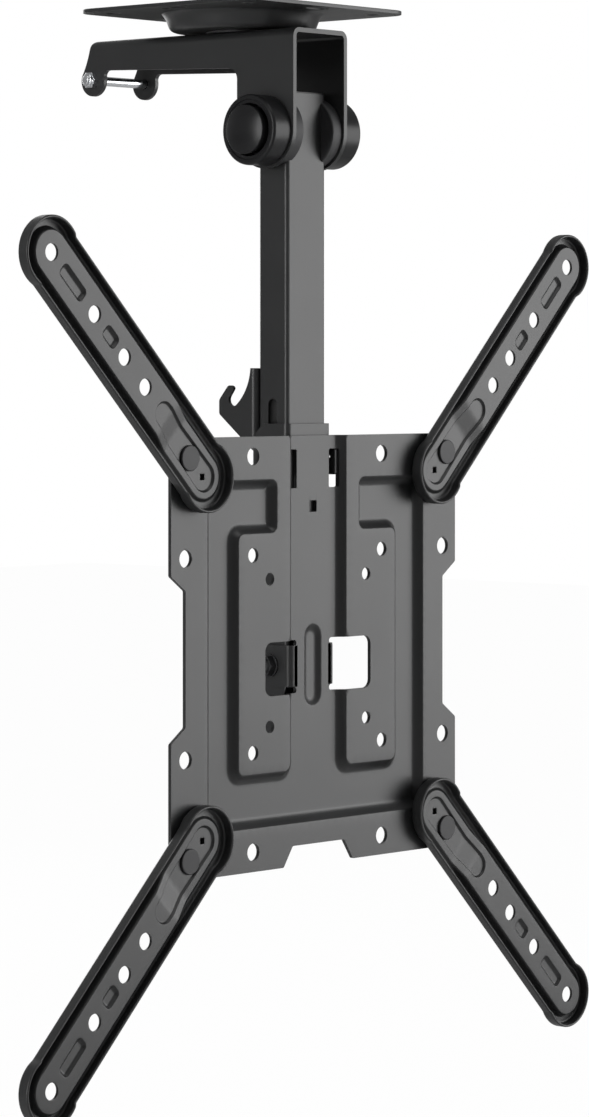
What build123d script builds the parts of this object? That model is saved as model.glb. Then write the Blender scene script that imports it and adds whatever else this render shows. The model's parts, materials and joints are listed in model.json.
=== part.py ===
from build123d import *
from math import asin, atan2, cos, degrees, radians, sin, tan
import os

# Fold-down ceiling mount for a flat screen.
# Millimetres. The origin is the centre of the ceiling plate's top face, on the swivel axis.
# +Z is up, -Y is the side that carries the screen, +X is to the right seen from that side.

# Ceiling plate
CEILING_SIDE = 125.0
CEILING_SHEET = 2.0
CEILING_CORNER_R = 12.0
CEILING_HOLE_PITCH = 96.0
CEILING_HOLE_D = 7.0
CEILING_SLOT_PITCH = 104.0
CEILING_SLOT_LENGTH = 15.0
CEILING_SLOT_WIDTH = 6.0
DOME_D = 84.0
DOME_DEPTH = 9.5
DOME_SLOPE = 25.0
DOME_EDGE_R = 5.0

# Swivel
SWIVEL_BOLT_D = 10.0
SWIVEL_HEAD_AF = 16.0
SWIVEL_HEAD_T = 5.0
SWIVEL_NUT_AF = 16.0
SWIVEL_NUT_T = 9.0
SWIVEL_WASHER_D = 24.0
SWIVEL_WASHER_T = 1.5
GLIDE_WASHER_D = 38.0
GLIDE_WASHER_T = 1.0

# Fasteners in general
LOCKNUT_COLLAR = 0.32
LOCKNUT_STEP = 0.5
LOCKNUT_EDGE_R = 0.8
HEAD_CHAMFER_IN = 0.6
HEAD_CHAMFER_RISE = 0.5
CORNER_MARGIN = 0.1

# Fold bracket
BRACKET_SHEET = 2.5
BRACKET_WIDTH = 42.0
BRACKET_BEND_R = 2.0
BRACKET_TOP_ABOVE_FOLD = 52.4
BRACKET_EAR_R = 19.5
BRACKET_ARM_UNDERSIDE = 33.0
BRACKET_ARM_RISE = 3.6
BRACKET_INNER_CORNER_R = 6.0
BRACKET_TOP_CORNER_R = 3.0
LOBE_R = 8.5
LOBE_CORNER_R = 3.0
LOBE_END_ANGLE = 15.0
BRACKET_END_BACK = 1.4
BRACKET_END_BOW = 1.0

# Fold pivot
FOLD_FORWARD = 34.7
FOLD_ANGLE = 92.5
PIVOT_BOLT_D = 8.0
PIVOT_HEAD_AF = 13.0
PIVOT_HEAD_T = 5.3
PIVOT_NUT_T = 6.5
PIVOT_WASHER_D = 16.0
PIVOT_WASHER_T = 1.2
PIVOT_SPACER_D = 13.0
FRICTION_WASHER_D = 36.6
FRICTION_WASHER_GRIP = 3.8
FRICTION_WASHER_EDGE = 0.5
COVER_D = 36.4
COVER_LENGTH = 13.0
COVER_WALL = 2.8
COVER_BASE = 1.5
COVER_RIM_R = 1.6
COVER_MOUTH_R = 0.6
CAP_D = 25.2
CAP_PROUD = 3.5
CAP_WALL = 1.2
CAP_CROWN = 2.2
CAP_LIP = 1.0
CAP_LIP_REACH = 1.3

# Pole
POLE_WIDTH = 30.0
POLE_DEPTH = 20.0
POLE_WALL = 1.8
POLE_CORNER_R = 2.2
POLE_REACH = 274.8
POLE_TOP = 20.8
POLE_TAIL = 38.0
POLE_TAIL_DEPTH = 12.0
POLE_TAIL_STRAIGHT = 6.0
POLE_TAIL_R = 3.0
POLE_FRONT_NOTCH = 13.0
PLUG_RIM = 1.2
PLUG_DEPTH = 7.0
PLUG_CLEAR = 0.1
PLUG_EDGE = 0.4
SLOT_WIDTH = 5.9
SLOT_END_CLEAR = 0.5

# Latch
LATCH_SHEET = 1.8
LATCH_CLEAR = 0.2
LATCH_BEND_R = 1.2
LATCH_TOP_BELOW_FOLD = 150.6
LATCH_LENGTH = 60.0
LATCH_SLEEVE_CHAMFER = 5.0
HOOK_TOP_ABOVE_THROAT = 16.4
HOOK_THROAT_R = 3.3
HOOK_THROAT_BELOW_FOLD = 138.4
HOOK_REACH = 10.0
HOOK_UNDER_ANGLE = 38.5
WELD_R = 1.6
WELD_LENGTH = 10.0
WELD_COUNT = 3
LATCH_PIN_D = 5.5
LATCH_PIN_HEAD_D = 9.0
LATCH_PIN_HEAD_T = 1.5
LATCH_PIN_BELOW_TOP = 11.3
LATCH_BOLT_D = 5.0
LATCH_BOLT_BACK = 123.7
LATCH_BOLT_ABOVE_FOLD = 31.5
LATCH_NUT_AF = 8.0
LATCH_NUT_T = 5.0
LATCH_HEAD_T = 3.5
LATCH_SEAT_GAP = 0.4
LATCH_PIN_EDGE_R = 0.9
HOOK_RAMP_ANGLE = 38.0
HOOK_CLAW_ANGLE = 36.0
HOOK_CLAW_OVERHANG = 0.3
HOOK_TIP = 1.4
HOOK_CROWN = 2.6
HOOK_HORN = 3.6
HOOK_BOW = 2.0
HOOK_BELLY = -7.4

# Screen plate
FACE_FORWARD = 18.3
TILT_BELOW_CENTRE = 8.2
PLATE_WIDTH = 221.0
PLATE_HEIGHT = 220.0
PLATE_SHEET = 2.0
PLATE_CORNER_R = 10.0
PLATE_EDGE_R = 1.5
SIDE_NOTCH_DEPTH = 10.5
SIDE_NOTCH_OUTER = 83.0
SIDE_NOTCH_INNER = 68.0
BOTTOM_NOTCH_DEPTH = 10.5
BOTTOM_NOTCH_OUTER = 54.0
BOTTOM_NOTCH_INNER = 40.0
RECESS_DEPTH = 4.0
RECESS_RUN = 3.0
RECESS_HALF_X = 83.7
RECESS_HALF_Z = 88.0
RECESS_CORNER_R = 4.0
PANEL_INNER = 21.7
PANEL_OUTER = 61.0
PANEL_HALF_Z = 61.0
NECK_OUTER = 32.0
BEAD_LENGTH = 42.0
BEAD_WIDTH = 13.0
BEAD_DEPTH = 1.5
BEAD_RUN = 2.2
KEY_HOLE = 6.0
KEY_HOLE_R = 1.0
KEY_HOLE_UP = 73.6
EDGE_LINE_IN_X = 10.5
EDGE_LINE_IN_Z = 10.0
VESA_75 = 75.0
VESA_100 = 100.0
VESA_200 = 200.0
SMALL_HOLE_D = 6.6
PANEL_HOLE_D = 7.6
SIDE_HOLE_D = 9.0

# Windows and ears of the screen plate
WINDOW_INNER = 14.3
WINDOW_OUTER = 41.0
WINDOW_ABOVE_TILT = 13.5
WINDOW_BELOW_TILT = 13.8
WINDOW_CORNER_R = 4.5
RELIEF_R = 1.6
EAR_BEND_R = 1.0
EAR_CLEAR = 0.3
EAR_ROOT = 3.0
EAR_R = 10.6
UPPER_WINDOW_INNER = 12.5
UPPER_WINDOW_LOW = 83.0
UPPER_WINDOW_HIGH = 103.0
UPPER_WINDOW_R = 1.0
UPPER_EAR_LOW = 89.5
UPPER_EAR_BACK = 12.4
UPPER_EAR_RELIEF = 2.0
UPPER_EAR_HOLE_D = 2.2
UPPER_EAR_HOLE_UP = 98.7
UPPER_EAR_HOLE_BACK = 8.5

# Tilt pivot
TILT_BOLT_D = 6.0
TILT_HEAD_AF = 10.0
TILT_HEAD_T = 4.0
TILT_NUT_T = 6.0
TILT_WASHER_D = 12.0
TILT_WASHER_T = 1.2
TILT_SPACER_D = 10.0

# Arms
ARM_REACH_PITCH = 400.0
ARM_LEAN = 45.0
ARM_HALF_WIDTH = 17.1
ARM_CAP_R = 17.9
ARM_HEIGHT = 6.0
ARM_CAP_HEIGHT = 7.0
ARM_CAP_OVERLAP = 5.0
ARM_SHEET = 1.5
ARM_PIVOT_END = 13.4
ARM_HOLE_D = 8.6
ARM_HOLES = (50.0, 70.7, 100.0)
ARM_FLOOR_HALF = 12.3
ARM_FLOOR_RUN = 1.3
ARM_FLOOR_LOW = 2.7
ARM_FLOOR_HIGH = 5.5
ARM_RAMP_START = 16.0
ARM_RAMP_END = 28.0
DISH_DEPTH = 1.2
DISH_OUTER_AT = 31.1
DISH_OUTER_R = 6.2
DISH_INNER_R = 7.5
ARM_BEAD_CENTRES = (121.2, 84.5)
ARM_BEAD_LENGTHS = (20.0, 10.6)
ARM_BEAD_WIDTH = 7.0
ARM_BEAD_DEPTH = 1.6
ARM_BEAD_RUN = 1.2
ARM_BEAD_CORNER_R = 2.4
ARM_SQUARE = 3.2
ARM_WASHER_D = 20.0
ARM_WASHER_T = 0.8
RIVET_D = 8.0
RIVET_HEAD_D = 13.0
RIVET_HEAD_T = 1.2
RIVET_HEAD_R = 0.6
RIVET_TAIL_D = 11.0
RIVET_TAIL_T = 1.8
RIVET_TAIL_R = 1.1

# Clearances and margins
THREAD_CHAMFER = 0.1
TURN_GAP = 0.1
SHAFT_CLEAR = 0.05
BOLT_CLEAR = 0.2
END_PROUD = 1.0
CUT_MARGIN = 1.0

# Places worked out from the sizes above
DOME_BOTTOM = -(CEILING_SHEET + DOME_DEPTH)
BRACKET_TOP = DOME_BOTTOM - GLIDE_WASHER_T - TURN_GAP
FOLD_Z = BRACKET_TOP - BRACKET_TOP_ABOVE_FOLD
FOLD_Y = -FOLD_FORWARD
TILT_Z = FOLD_Z - POLE_REACH
FACE_Y = FOLD_Y - FACE_FORWARD
CENTRE_Z = TILT_Z + TILT_BELOW_CENTRE
HALF_WALL_IN = BRACKET_WIDTH / 2 - BRACKET_SHEET
EAR_FACE = BRACKET_WIDTH / 2
PIVOT_SEAT = EAR_FACE + COVER_BASE
PIVOT_OUTER = PIVOT_SEAT + PIVOT_WASHER_T
LATCH_HALF = POLE_WIDTH / 2 + LATCH_CLEAR + LATCH_SHEET
LATCH_TOP = FOLD_Z - LATCH_TOP_BELOW_FOLD
LATCH_PIN_Z = LATCH_TOP - LATCH_PIN_BELOW_TOP
LATCH_BOLT_Y = FOLD_Y + LATCH_BOLT_BACK
LATCH_BOLT_Z = FOLD_Z + LATCH_BOLT_ABOVE_FOLD
HOOK_WEB_Y = FOLD_Y + POLE_DEPTH / 2 + LATCH_CLEAR
THROAT_Z = FOLD_Z - HOOK_THROAT_BELOW_FOLD
FLOOR_BACK = RECESS_DEPTH + PLATE_SHEET
TILT_EAR_FACE = POLE_WIDTH / 2 + EAR_CLEAR + PLATE_SHEET
TILT_OUTER = TILT_EAR_FACE + TILT_WASHER_T
UPPER_EAR_FACE = LATCH_HALF + EAR_CLEAR + PLATE_SHEET
OUTER_X = PLATE_WIDTH / 2 - EDGE_LINE_IN_X
OUTER_Z = PLATE_HEIGHT / 2 - EDGE_LINE_IN_Z
ARM_FAR = (ARM_REACH_PITCH - VESA_200) / 2 * 2 ** 0.5

# The cross bolt as the pole sees it when it is folded up
OVER = radians(FOLD_ANGLE - 90.0)
BOLT_ALONG = LATCH_BOLT_BACK * cos(OVER) + LATCH_BOLT_ABOVE_FOLD * sin(OVER)
BOLT_OFF = LATCH_BOLT_ABOVE_FOLD * cos(OVER) - LATCH_BOLT_BACK * sin(OVER)
THROAT_OFF = BOLT_OFF - LATCH_SEAT_GAP
LATCH_TRAVEL = HOOK_THROAT_BELOW_FOLD - BOLT_ALONG
SLOT_LENGTH = LATCH_TRAVEL + SLOT_WIDTH + 2 * SLOT_END_CLEAR


def facing(y):
    """Plane seen from the screen side: its x is X, its y is Z, its normal points to -Y."""
    return Plane(origin=(0, y, 0), x_dir=(1, 0, 0), z_dir=(0, -1, 0))


def sideways(x):
    """Plane seen from the right: its x is Y, its y is Z, its normal points to +X."""
    return Plane(origin=(x, 0, 0), x_dir=(0, 1, 0), z_dir=(1, 0, 0))


def across(x0, x1, y, z, radius):
    """Round bar along X."""
    return extrude(sideways(x0) * Pos(y, z) * Circle(radius), x1 - x0)


def upright(z0, z1, x, y, radius):
    """Round bar along Z."""
    return extrude(Plane.XY.offset(z0) * Pos(x, y) * Circle(radius), z1 - z0)


def hexagon(across_flats):
    """Hexagon with a corner on its x axis."""
    return RegularPolygon(across_flats / 2, 6, major_radius=False)


def hex_along_x(x0, x1, y, z, across_flats):
    """Hexagonal bar along X."""
    return extrude(sideways(x0) * Pos(y, z) * hexagon(across_flats), x1 - x0)


def solid(shape):
    """Give back one clean solid or a group of them."""
    found = shape.solids()
    if len(found) == 1:
        return found[0]
    return Compound(children=list(found))


def frustum(sketch_at, base, rise, run):
    """Prism whose walls lean in by run over its rise."""
    return extrude(sketch_at * base, rise, taper=degrees(atan2(run, abs(rise))))


def level_offset(sheet, run, rise):
    """Distance between the front and back of a leaning wall of a sheet, measured level."""
    return sheet * (1 + (run / rise) ** 2) ** 0.5


# Ceiling plate

def ceiling_plate():
    sheet = extrude(RectangleRounded(CEILING_SIDE, CEILING_SIDE, CEILING_CORNER_R), -CEILING_SHEET)
    lean = tan(radians(DOME_SLOPE))
    outer_top = DOME_D / 2
    outer_low = outer_top - DOME_DEPTH * lean
    wall = CEILING_SHEET / cos(radians(DOME_SLOPE))

    def profile(top_r, low_r, top_z, low_z, edge_r):
        outline = Plane.XZ * Polygon(
            (0, top_z), (top_r, top_z), (low_r, low_z), (0, low_z), align=None)
        corner = outline.vertices().sort_by(Axis.Z)[:2].sort_by(Axis.X)[-1]
        return fillet(corner, edge_r)

    dome = revolve(profile(outer_top, outer_low, -CEILING_SHEET, DOME_BOTTOM, DOME_EDGE_R), Axis.Z)
    floor_z = DOME_BOTTOM + CEILING_SHEET
    inner_top = outer_top - wall + CEILING_SHEET * lean
    inner_low = inner_top + floor_z * lean
    hollow = revolve(
        profile(inner_top, inner_low, 0, floor_z, DOME_EDGE_R - CEILING_SHEET), Axis.Z)
    half = CEILING_HOLE_PITCH / 2
    holes = [
        Pos(x, y) * Circle(CEILING_HOLE_D / 2) for x in (-half, half) for y in (-half, half)]
    slots = [
        Rot(0, 0, turn) * Pos(0, CEILING_SLOT_PITCH / 2)
        * SlotOverall(CEILING_SLOT_LENGTH, CEILING_SLOT_WIDTH)
        for turn in (0, 90, 180, 270)]
    cuts = extrude(Sketch() + holes + slots, -2 * CEILING_SHEET)
    bore = upright(DOME_BOTTOM, 0, 0, 0, SWIVEL_BOLT_D / 2 + BOLT_CLEAR)
    return sheet + dome - hollow - cuts - bore


def swivel_bolt():
    floor_z = DOME_BOTTOM + CEILING_SHEET + SWIVEL_WASHER_T
    end_z = BRACKET_TOP - BRACKET_SHEET - TURN_GAP - SWIVEL_WASHER_T - SWIVEL_NUT_T - END_PROUD
    head = extrude(Plane.XY.offset(floor_z) * hexagon(SWIVEL_HEAD_AF), SWIVEL_HEAD_T)
    head = head & Pos(0, 0, floor_z) * chamfered_round(SWIVEL_HEAD_AF, SWIVEL_HEAD_T)
    shank = chamfer(
        upright(end_z, floor_z, 0, 0, SWIVEL_BOLT_D / 2).edges().sort_by(Axis.Z)[0],
        SWIVEL_BOLT_D * THREAD_CHAMFER)
    return head + shank


def chamfered_round(across_flats, height):
    """Cylinder round a hexagon's corners, chamfered at its top, that trims a bolt head."""
    radius = across_flats / 2 / cos(radians(30)) + CORNER_MARGIN
    blank = extrude(Circle(radius), height)
    return chamfer(blank.edges().sort_by(Axis.Z)[-1], HEAD_CHAMFER_RISE, HEAD_CHAMFER_IN)


def swivel_head_washer():
    z0 = DOME_BOTTOM + CEILING_SHEET
    ring = Circle(SWIVEL_WASHER_D / 2) - Circle(SWIVEL_BOLT_D / 2 + BOLT_CLEAR)
    return extrude(Plane.XY.offset(z0) * ring, SWIVEL_WASHER_T)


def swivel_glide_washer():
    ring = Circle(GLIDE_WASHER_D / 2) - Circle(SWIVEL_BOLT_D / 2 + BOLT_CLEAR)
    return extrude(Plane.XY.offset(DOME_BOTTOM) * ring, -GLIDE_WASHER_T)


def swivel_lower_washer():
    z0 = BRACKET_TOP - BRACKET_SHEET - TURN_GAP
    ring = Circle(SWIVEL_WASHER_D / 2) - Circle(SWIVEL_BOLT_D / 2 + BOLT_CLEAR)
    return extrude(Plane.XY.offset(z0) * ring, -SWIVEL_WASHER_T)


def swivel_nut():
    z0 = BRACKET_TOP - BRACKET_SHEET - TURN_GAP - SWIVEL_WASHER_T
    return locknut(Plane.XY.offset(z0).rotated((180, 0, 0)), SWIVEL_NUT_AF, SWIVEL_NUT_T, SWIVEL_BOLT_D)


def locknut(seat, across_flats, thickness, bolt_d):
    """Nut whose outer end is a round collar that holds its plastic ring."""
    hex_t = thickness * (1 - LOCKNUT_COLLAR)
    body = extrude(hexagon(across_flats), hex_t)
    body = body & chamfered_round(across_flats, hex_t)
    collar_r = across_flats / 2 - LOCKNUT_STEP
    collar = Pos(0, 0, hex_t) * extrude(Circle(collar_r), thickness - hex_t)
    collar = fillet(collar.edges().sort_by(Axis.Z)[-1], LOCKNUT_EDGE_R)
    bore = extrude(Circle(bolt_d / 2), thickness)
    return seat * (body + collar - bore)


# Fold bracket

def bracket_outline():
    """Side view of the bracket, measured from the fold axis: x is back, y is up."""
    top = BRACKET_TOP_ABOVE_FOLD
    lobe_y = LATCH_BOLT_BACK
    lobe_z = LATCH_BOLT_ABOVE_FOLD
    under_rear = BRACKET_ARM_UNDERSIDE + BRACKET_ARM_RISE
    ear = BRACKET_EAR_R
    turn = radians(LOBE_END_ANGLE)
    back_low = (lobe_y + LOBE_R * cos(turn), lobe_z + LOBE_R * sin(turn))
    back_top = (lobe_y + BRACKET_END_BACK, top)
    back_mid = ((back_low[0] + back_top[0]) / 2 - BRACKET_END_BOW, (back_low[1] + top) / 2)
    neck_dz = under_rear - lobe_z
    neck = (lobe_y - (LOBE_R ** 2 - neck_dz ** 2) ** 0.5, under_rear)
    lines = [
        Line((-ear, top), (-ear, 0)),
        ThreePointArc((-ear, 0), (0, -ear), (ear, 0)),
        Line((ear, 0), (ear, BRACKET_ARM_UNDERSIDE)),
        Line((ear, BRACKET_ARM_UNDERSIDE), neck),
        ThreePointArc(neck, (lobe_y, lobe_z - LOBE_R), back_low),
        ThreePointArc(back_low, back_mid, back_top),
        Line(back_top, (-ear, top)),
    ]
    face = make_face(lines)
    rear_top = face.vertices().sort_by(Axis.Y)[-2:].sort_by(Axis.X)[-1]
    face = fillet(rear_top, BRACKET_TOP_CORNER_R)
    inner = face.vertices().sort_by_distance((ear, BRACKET_ARM_UNDERSIDE, 0))[0]
    face = fillet(inner, BRACKET_INNER_CORNER_R)
    throat = face.vertices().sort_by_distance((neck[0], neck[1], 0))[0]
    return fillet(throat, LOBE_CORNER_R)


def fold_bracket():
    half = BRACKET_WIDTH / 2
    deep = BRACKET_TOP_ABOVE_FOLD + BRACKET_EAR_R + CUT_MARGIN
    long = LATCH_BOLT_BACK + LOBE_R + BRACKET_EAR_R + 2 * CUT_MARGIN
    outer = Pos(0, -deep / 2) * Rectangle(BRACKET_WIDTH, deep)
    outer = fillet(outer.vertices().sort_by(Axis.Y)[-2:], BRACKET_BEND_R + BRACKET_SHEET)
    inner = Pos(0, -deep / 2 - BRACKET_SHEET) * Rectangle(2 * HALF_WALL_IN, deep)
    inner = fillet(inner.vertices().sort_by(Axis.Y)[-2:], BRACKET_BEND_R)
    back_y = FOLD_Y + LATCH_BOLT_BACK + LOBE_R + CUT_MARGIN
    section = Plane(origin=(0, back_y, BRACKET_TOP), x_dir=(1, 0, 0), z_dir=(0, -1, 0)) * (outer - inner)
    channel = extrude(section, long)
    side = extrude(sideways(-half) * Pos(FOLD_Y, FOLD_Z) * bracket_outline(), BRACKET_WIDTH)
    bolt_y = FOLD_Y + LATCH_BOLT_BACK
    bolt_z = FOLD_Z + LATCH_BOLT_ABOVE_FOLD
    bores = across(-half, half, FOLD_Y, FOLD_Z, PIVOT_BOLT_D / 2 + BOLT_CLEAR)
    bores += across(-half, half, bolt_y, bolt_z, LATCH_BOLT_D / 2 + BOLT_CLEAR)
    bores += upright(BRACKET_TOP - BRACKET_SHEET, BRACKET_TOP, 0, 0, SWIVEL_BOLT_D / 2 + SHAFT_CLEAR)
    return (channel & side) - bores


# Fold pivot

def cross_bolt(outer, y, z, across_flats, head_t, nut_t, bolt_d):
    """Bolt along X, its head on the right and its end beyond the nut on the left."""
    head = hex_along_x(outer, outer + head_t, y, z, across_flats)
    shank = across(-(outer + nut_t + END_PROUD), outer, y, z, bolt_d / 2)
    return head + chamfer(shank.edges().sort_by(Axis.X)[0], bolt_d * THREAD_CHAMFER)


def cross_nut(outer, y, z, across_flats, nut_t, bolt_d):
    """Locknut on the left end of a bolt along X."""
    seat = Plane(origin=(-outer, y, z), x_dir=(0, 1, 0), z_dir=(-1, 0, 0))
    return locknut(seat, across_flats, nut_t, bolt_d)


def washer_pair(inner_face, thickness, y, z, outer_d, bolt_d):
    """Two washers on a bolt along X, the same distance left and right of the centre."""
    ring = Circle(outer_d / 2) - Circle(bolt_d / 2 + BOLT_CLEAR)
    right = extrude(sideways(inner_face) * Pos(y, z) * ring, thickness)
    return right + mirror(right, about=Plane.YZ)


def pivot_bolt():
    return cross_bolt(
        PIVOT_OUTER, FOLD_Y, FOLD_Z, PIVOT_HEAD_AF, PIVOT_HEAD_T, PIVOT_NUT_T, PIVOT_BOLT_D)


def pivot_nut():
    return cross_nut(PIVOT_OUTER, FOLD_Y, FOLD_Z, PIVOT_HEAD_AF, PIVOT_NUT_T, PIVOT_BOLT_D)


def pivot_steel_washers():
    return washer_pair(PIVOT_SEAT, PIVOT_WASHER_T, FOLD_Y, FOLD_Z, PIVOT_WASHER_D, PIVOT_BOLT_D)


def pivot_friction_washers():
    """Thick plastic washers that grip the pole's sides and rub on the bracket's ears."""
    start = POLE_WIDTH / 2 - FRICTION_WASHER_GRIP
    thickness = HALF_WALL_IN - TURN_GAP - start
    ring = Circle(FRICTION_WASHER_D / 2) - Circle(PIVOT_BOLT_D / 2 + SHAFT_CLEAR)
    washer = extrude(sideways(start) * Pos(FOLD_Y, FOLD_Z) * ring, thickness)
    rims = [edge for edge in washer.edges().filter_by(GeomType.CIRCLE)
            if edge.radius > PIVOT_BOLT_D]
    washer = chamfer(rims, FRICTION_WASHER_EDGE)
    low = FOLD_Z - FRICTION_WASHER_D / 2 - CUT_MARGIN
    pole = extrude(
        Plane.XY.offset(low) * Pos(0, FOLD_Y) * pole_section(), FRICTION_WASHER_D + 2 * CUT_MARGIN)
    washer -= pole
    return washer + mirror(washer, about=Plane.YZ)


def outward(side):
    """Plane at the fold axis whose normal points out to one side."""
    return Plane(origin=(0, FOLD_Y, FOLD_Z), x_dir=(0, 1, 0), z_dir=(side, 0, 0))


def pivot_cover(side):
    """Round cup about the bolt head or the nut, open on its outer side."""
    radius = COVER_D / 2
    inner = radius - COVER_WALL
    hole = PIVOT_BOLT_D / 2 + BOLT_CLEAR
    rim = COVER_LENGTH
    wall = Plane.XZ * Polygon(
        (hole, 0), (radius, 0), (radius, rim), (inner, rim), (inner, COVER_BASE), (hole, COVER_BASE),
        align=None)
    wall = fillet(wall.vertices().sort_by_distance((radius, 0, rim))[0], COVER_RIM_R)
    wall = fillet(wall.vertices().sort_by_distance((inner, 0, rim))[0], COVER_MOUTH_R)
    return outward(side) * Pos(0, 0, EAR_FACE) * revolve(wall, Axis.Z)


def crown_arc(radius, edge, rise):
    """Arc of a spherical crown from its rim, at radius and edge, to its top on the axis."""
    sphere = (radius ** 2 + rise ** 2) / (2 * rise)
    middle = (sphere ** 2 - (radius / 2) ** 2) ** 0.5 - (sphere - rise)
    return ThreePointArc((radius, edge), (radius / 2, edge + middle), (0, edge + rise))


def pivot_cap(side):
    """Domed cap that stands on the cover's base, its lip proud of the cover's rim."""
    radius = CAP_D / 2
    edge = COVER_LENGTH + CAP_PROUD
    lip = edge - CAP_LIP
    skirt = radius - CAP_LIP_REACH
    inner = skirt - CAP_WALL
    under = edge - CAP_WALL
    face = make_face([
        crown_arc(radius, edge, CAP_CROWN),
        Line((radius, edge), (radius, lip)),
        Line((radius, lip), (skirt, lip)),
        Line((skirt, lip), (skirt, COVER_BASE)),
        Line((skirt, COVER_BASE), (inner, COVER_BASE)),
        Line((inner, COVER_BASE), (inner, under)),
        crown_arc(inner, under, CAP_CROWN),
        Line((0, under + CAP_CROWN), (0, edge + CAP_CROWN)),
    ])
    return outward(side) * Pos(0, 0, EAR_FACE) * revolve(Plane.XZ * face, Axis.Z)


# Pole

def pole_section(grow=0.0):
    """Outline of the pole, widened by grow; a corner keeps some radius inside the wall."""
    corner = max(POLE_CORNER_R + grow, PLUG_EDGE / 2)
    return RectangleRounded(POLE_WIDTH + 2 * grow, POLE_DEPTH + 2 * grow, corner)


def pole_tube():
    """Tube whose lower end is open in front and cut back below the tilt bolt, so the plate can tilt."""
    top = FOLD_Z + POLE_TOP - PLUG_RIM
    low = TILT_Z - POLE_TAIL
    section = Pos(0, FOLD_Y) * (pole_section() - pole_section(-POLE_WALL))
    tube = extrude(Plane.XY.offset(low) * section, top - low)
    front = -POLE_DEPTH / 2
    cut_top = -POLE_TAIL_STRAIGHT
    slope = (POLE_DEPTH - POLE_TAIL_DEPTH) / (POLE_TAIL - POLE_TAIL_STRAIGHT)
    below = POLE_TAIL + CUT_MARGIN
    reach = front + slope * (below - POLE_TAIL_STRAIGHT)
    wedge = Polygon(
        (front, cut_top), (front - CUT_MARGIN, cut_top), (front - CUT_MARGIN, -below), (reach, -below),
        align=None)
    half = POLE_WIDTH / 2 + CUT_MARGIN
    tube -= extrude(sideways(-half) * Pos(FOLD_Y, TILT_Z) * wedge, 2 * half)
    notch_top = TILT_Z + POLE_FRONT_NOTCH
    tube -= Pos(0, FOLD_Y - POLE_DEPTH / 2, (notch_top + low - CUT_MARGIN) / 2) * Box(
        POLE_WIDTH - 2 * POLE_WALL, 2 * POLE_WALL + 2 * CUT_MARGIN, notch_top - low + CUT_MARGIN)
    slot_z = LATCH_PIN_Z + LATCH_TRAVEL / 2
    slot = Rot(0, 0, 90) * SlotOverall(SLOT_LENGTH, SLOT_WIDTH)
    tube -= extrude(sideways(-half) * Pos(FOLD_Y, slot_z) * slot, 2 * half)
    tube -= across(-half, half, FOLD_Y, FOLD_Z, PIVOT_BOLT_D / 2 + SHAFT_CLEAR)
    return tube - across(-half, half, FOLD_Y, TILT_Z, TILT_BOLT_D / 2 + SHAFT_CLEAR)


def pole_plug():
    """Plastic plug in the pole's top end; its rim has the tube's outline."""
    top = FOLD_Z + POLE_TOP
    rim = extrude(Plane.XY.offset(top - PLUG_RIM) * Pos(0, FOLD_Y) * pole_section(), PLUG_RIM)
    rim = chamfer(rim.faces().sort_by(Axis.Z)[-1].edges(), PLUG_EDGE)
    body = Pos(0, FOLD_Y) * pole_section(-POLE_WALL - PLUG_CLEAR)
    return rim + extrude(Plane.XY.offset(top - PLUG_RIM - PLUG_DEPTH) * body, PLUG_DEPTH)


def spacer(z, outer_d, bolt_d):
    half = POLE_WIDTH / 2 - POLE_WALL
    ring = Circle(outer_d / 2) - Circle(bolt_d / 2 + SHAFT_CLEAR)
    return extrude(sideways(-half) * Pos(FOLD_Y, z) * ring, 2 * half)


# Latch

def bent_channel(half_width, deep, sheet, bend_r):
    """Section of a channel with its web along x at y = 0, its flanges towards +y."""
    outer = Pos(0, deep / 2) * Rectangle(2 * half_width, deep)
    outer = fillet(outer.vertices().sort_by(Axis.Y)[:2], bend_r + sheet)
    inner = Pos(0, deep / 2 + sheet) * Rectangle(2 * (half_width - sheet), deep)
    inner = fillet(inner.vertices().sort_by(Axis.Y)[:2], bend_r)
    return outer - inner


def weld_beads():
    """Short round welds along the two corners where the sleeve meets the hooks."""
    first = LATCH_TOP - LATCH_SLEEVE_CHAMFER - WELD_LENGTH / 2
    free = LATCH_LENGTH - LATCH_SLEEVE_CHAMFER - 2 * WELD_LENGTH
    x = LATCH_HALF - WELD_R
    for index in range(WELD_COUNT):
        top = first - index * free / (WELD_COUNT - 1)
        for side in (-1, 1):
            yield upright(top - WELD_LENGTH, top, side * x, HOOK_WEB_Y, WELD_R)


def latch_sleeve():
    """Channel round the front of the pole, with weld beads along its back corners."""
    front = FOLD_Y - POLE_DEPTH / 2 - LATCH_CLEAR - LATCH_SHEET
    back = HOOK_WEB_Y
    section = Pos(0, front) * bent_channel(LATCH_HALF, back - front, LATCH_SHEET, LATCH_BEND_R)
    channel = extrude(Plane.XY.offset(LATCH_TOP - LATCH_LENGTH) * section, LATCH_LENGTH)
    cut = LATCH_SLEEVE_CHAMFER
    corner = Polygon(
        (back - cut, LATCH_TOP), (back, LATCH_TOP - cut), (back + CUT_MARGIN, LATCH_TOP + CUT_MARGIN),
        (back - cut, LATCH_TOP + CUT_MARGIN), align=None)
    channel -= extrude(sideways(-LATCH_HALF) * corner, 2 * LATCH_HALF)
    hooks = latch_hooks()
    pole = Pos(0, FOLD_Y) * pole_section(LATCH_CLEAR)
    inside = extrude(Plane.XY.offset(LATCH_TOP - LATCH_LENGTH) * pole, LATCH_LENGTH)
    for bead in weld_beads():
        channel += bead - hooks - inside
    return channel - across(-LATCH_HALF, LATCH_HALF, FOLD_Y, LATCH_PIN_Z, LATCH_PIN_D / 2)


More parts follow.
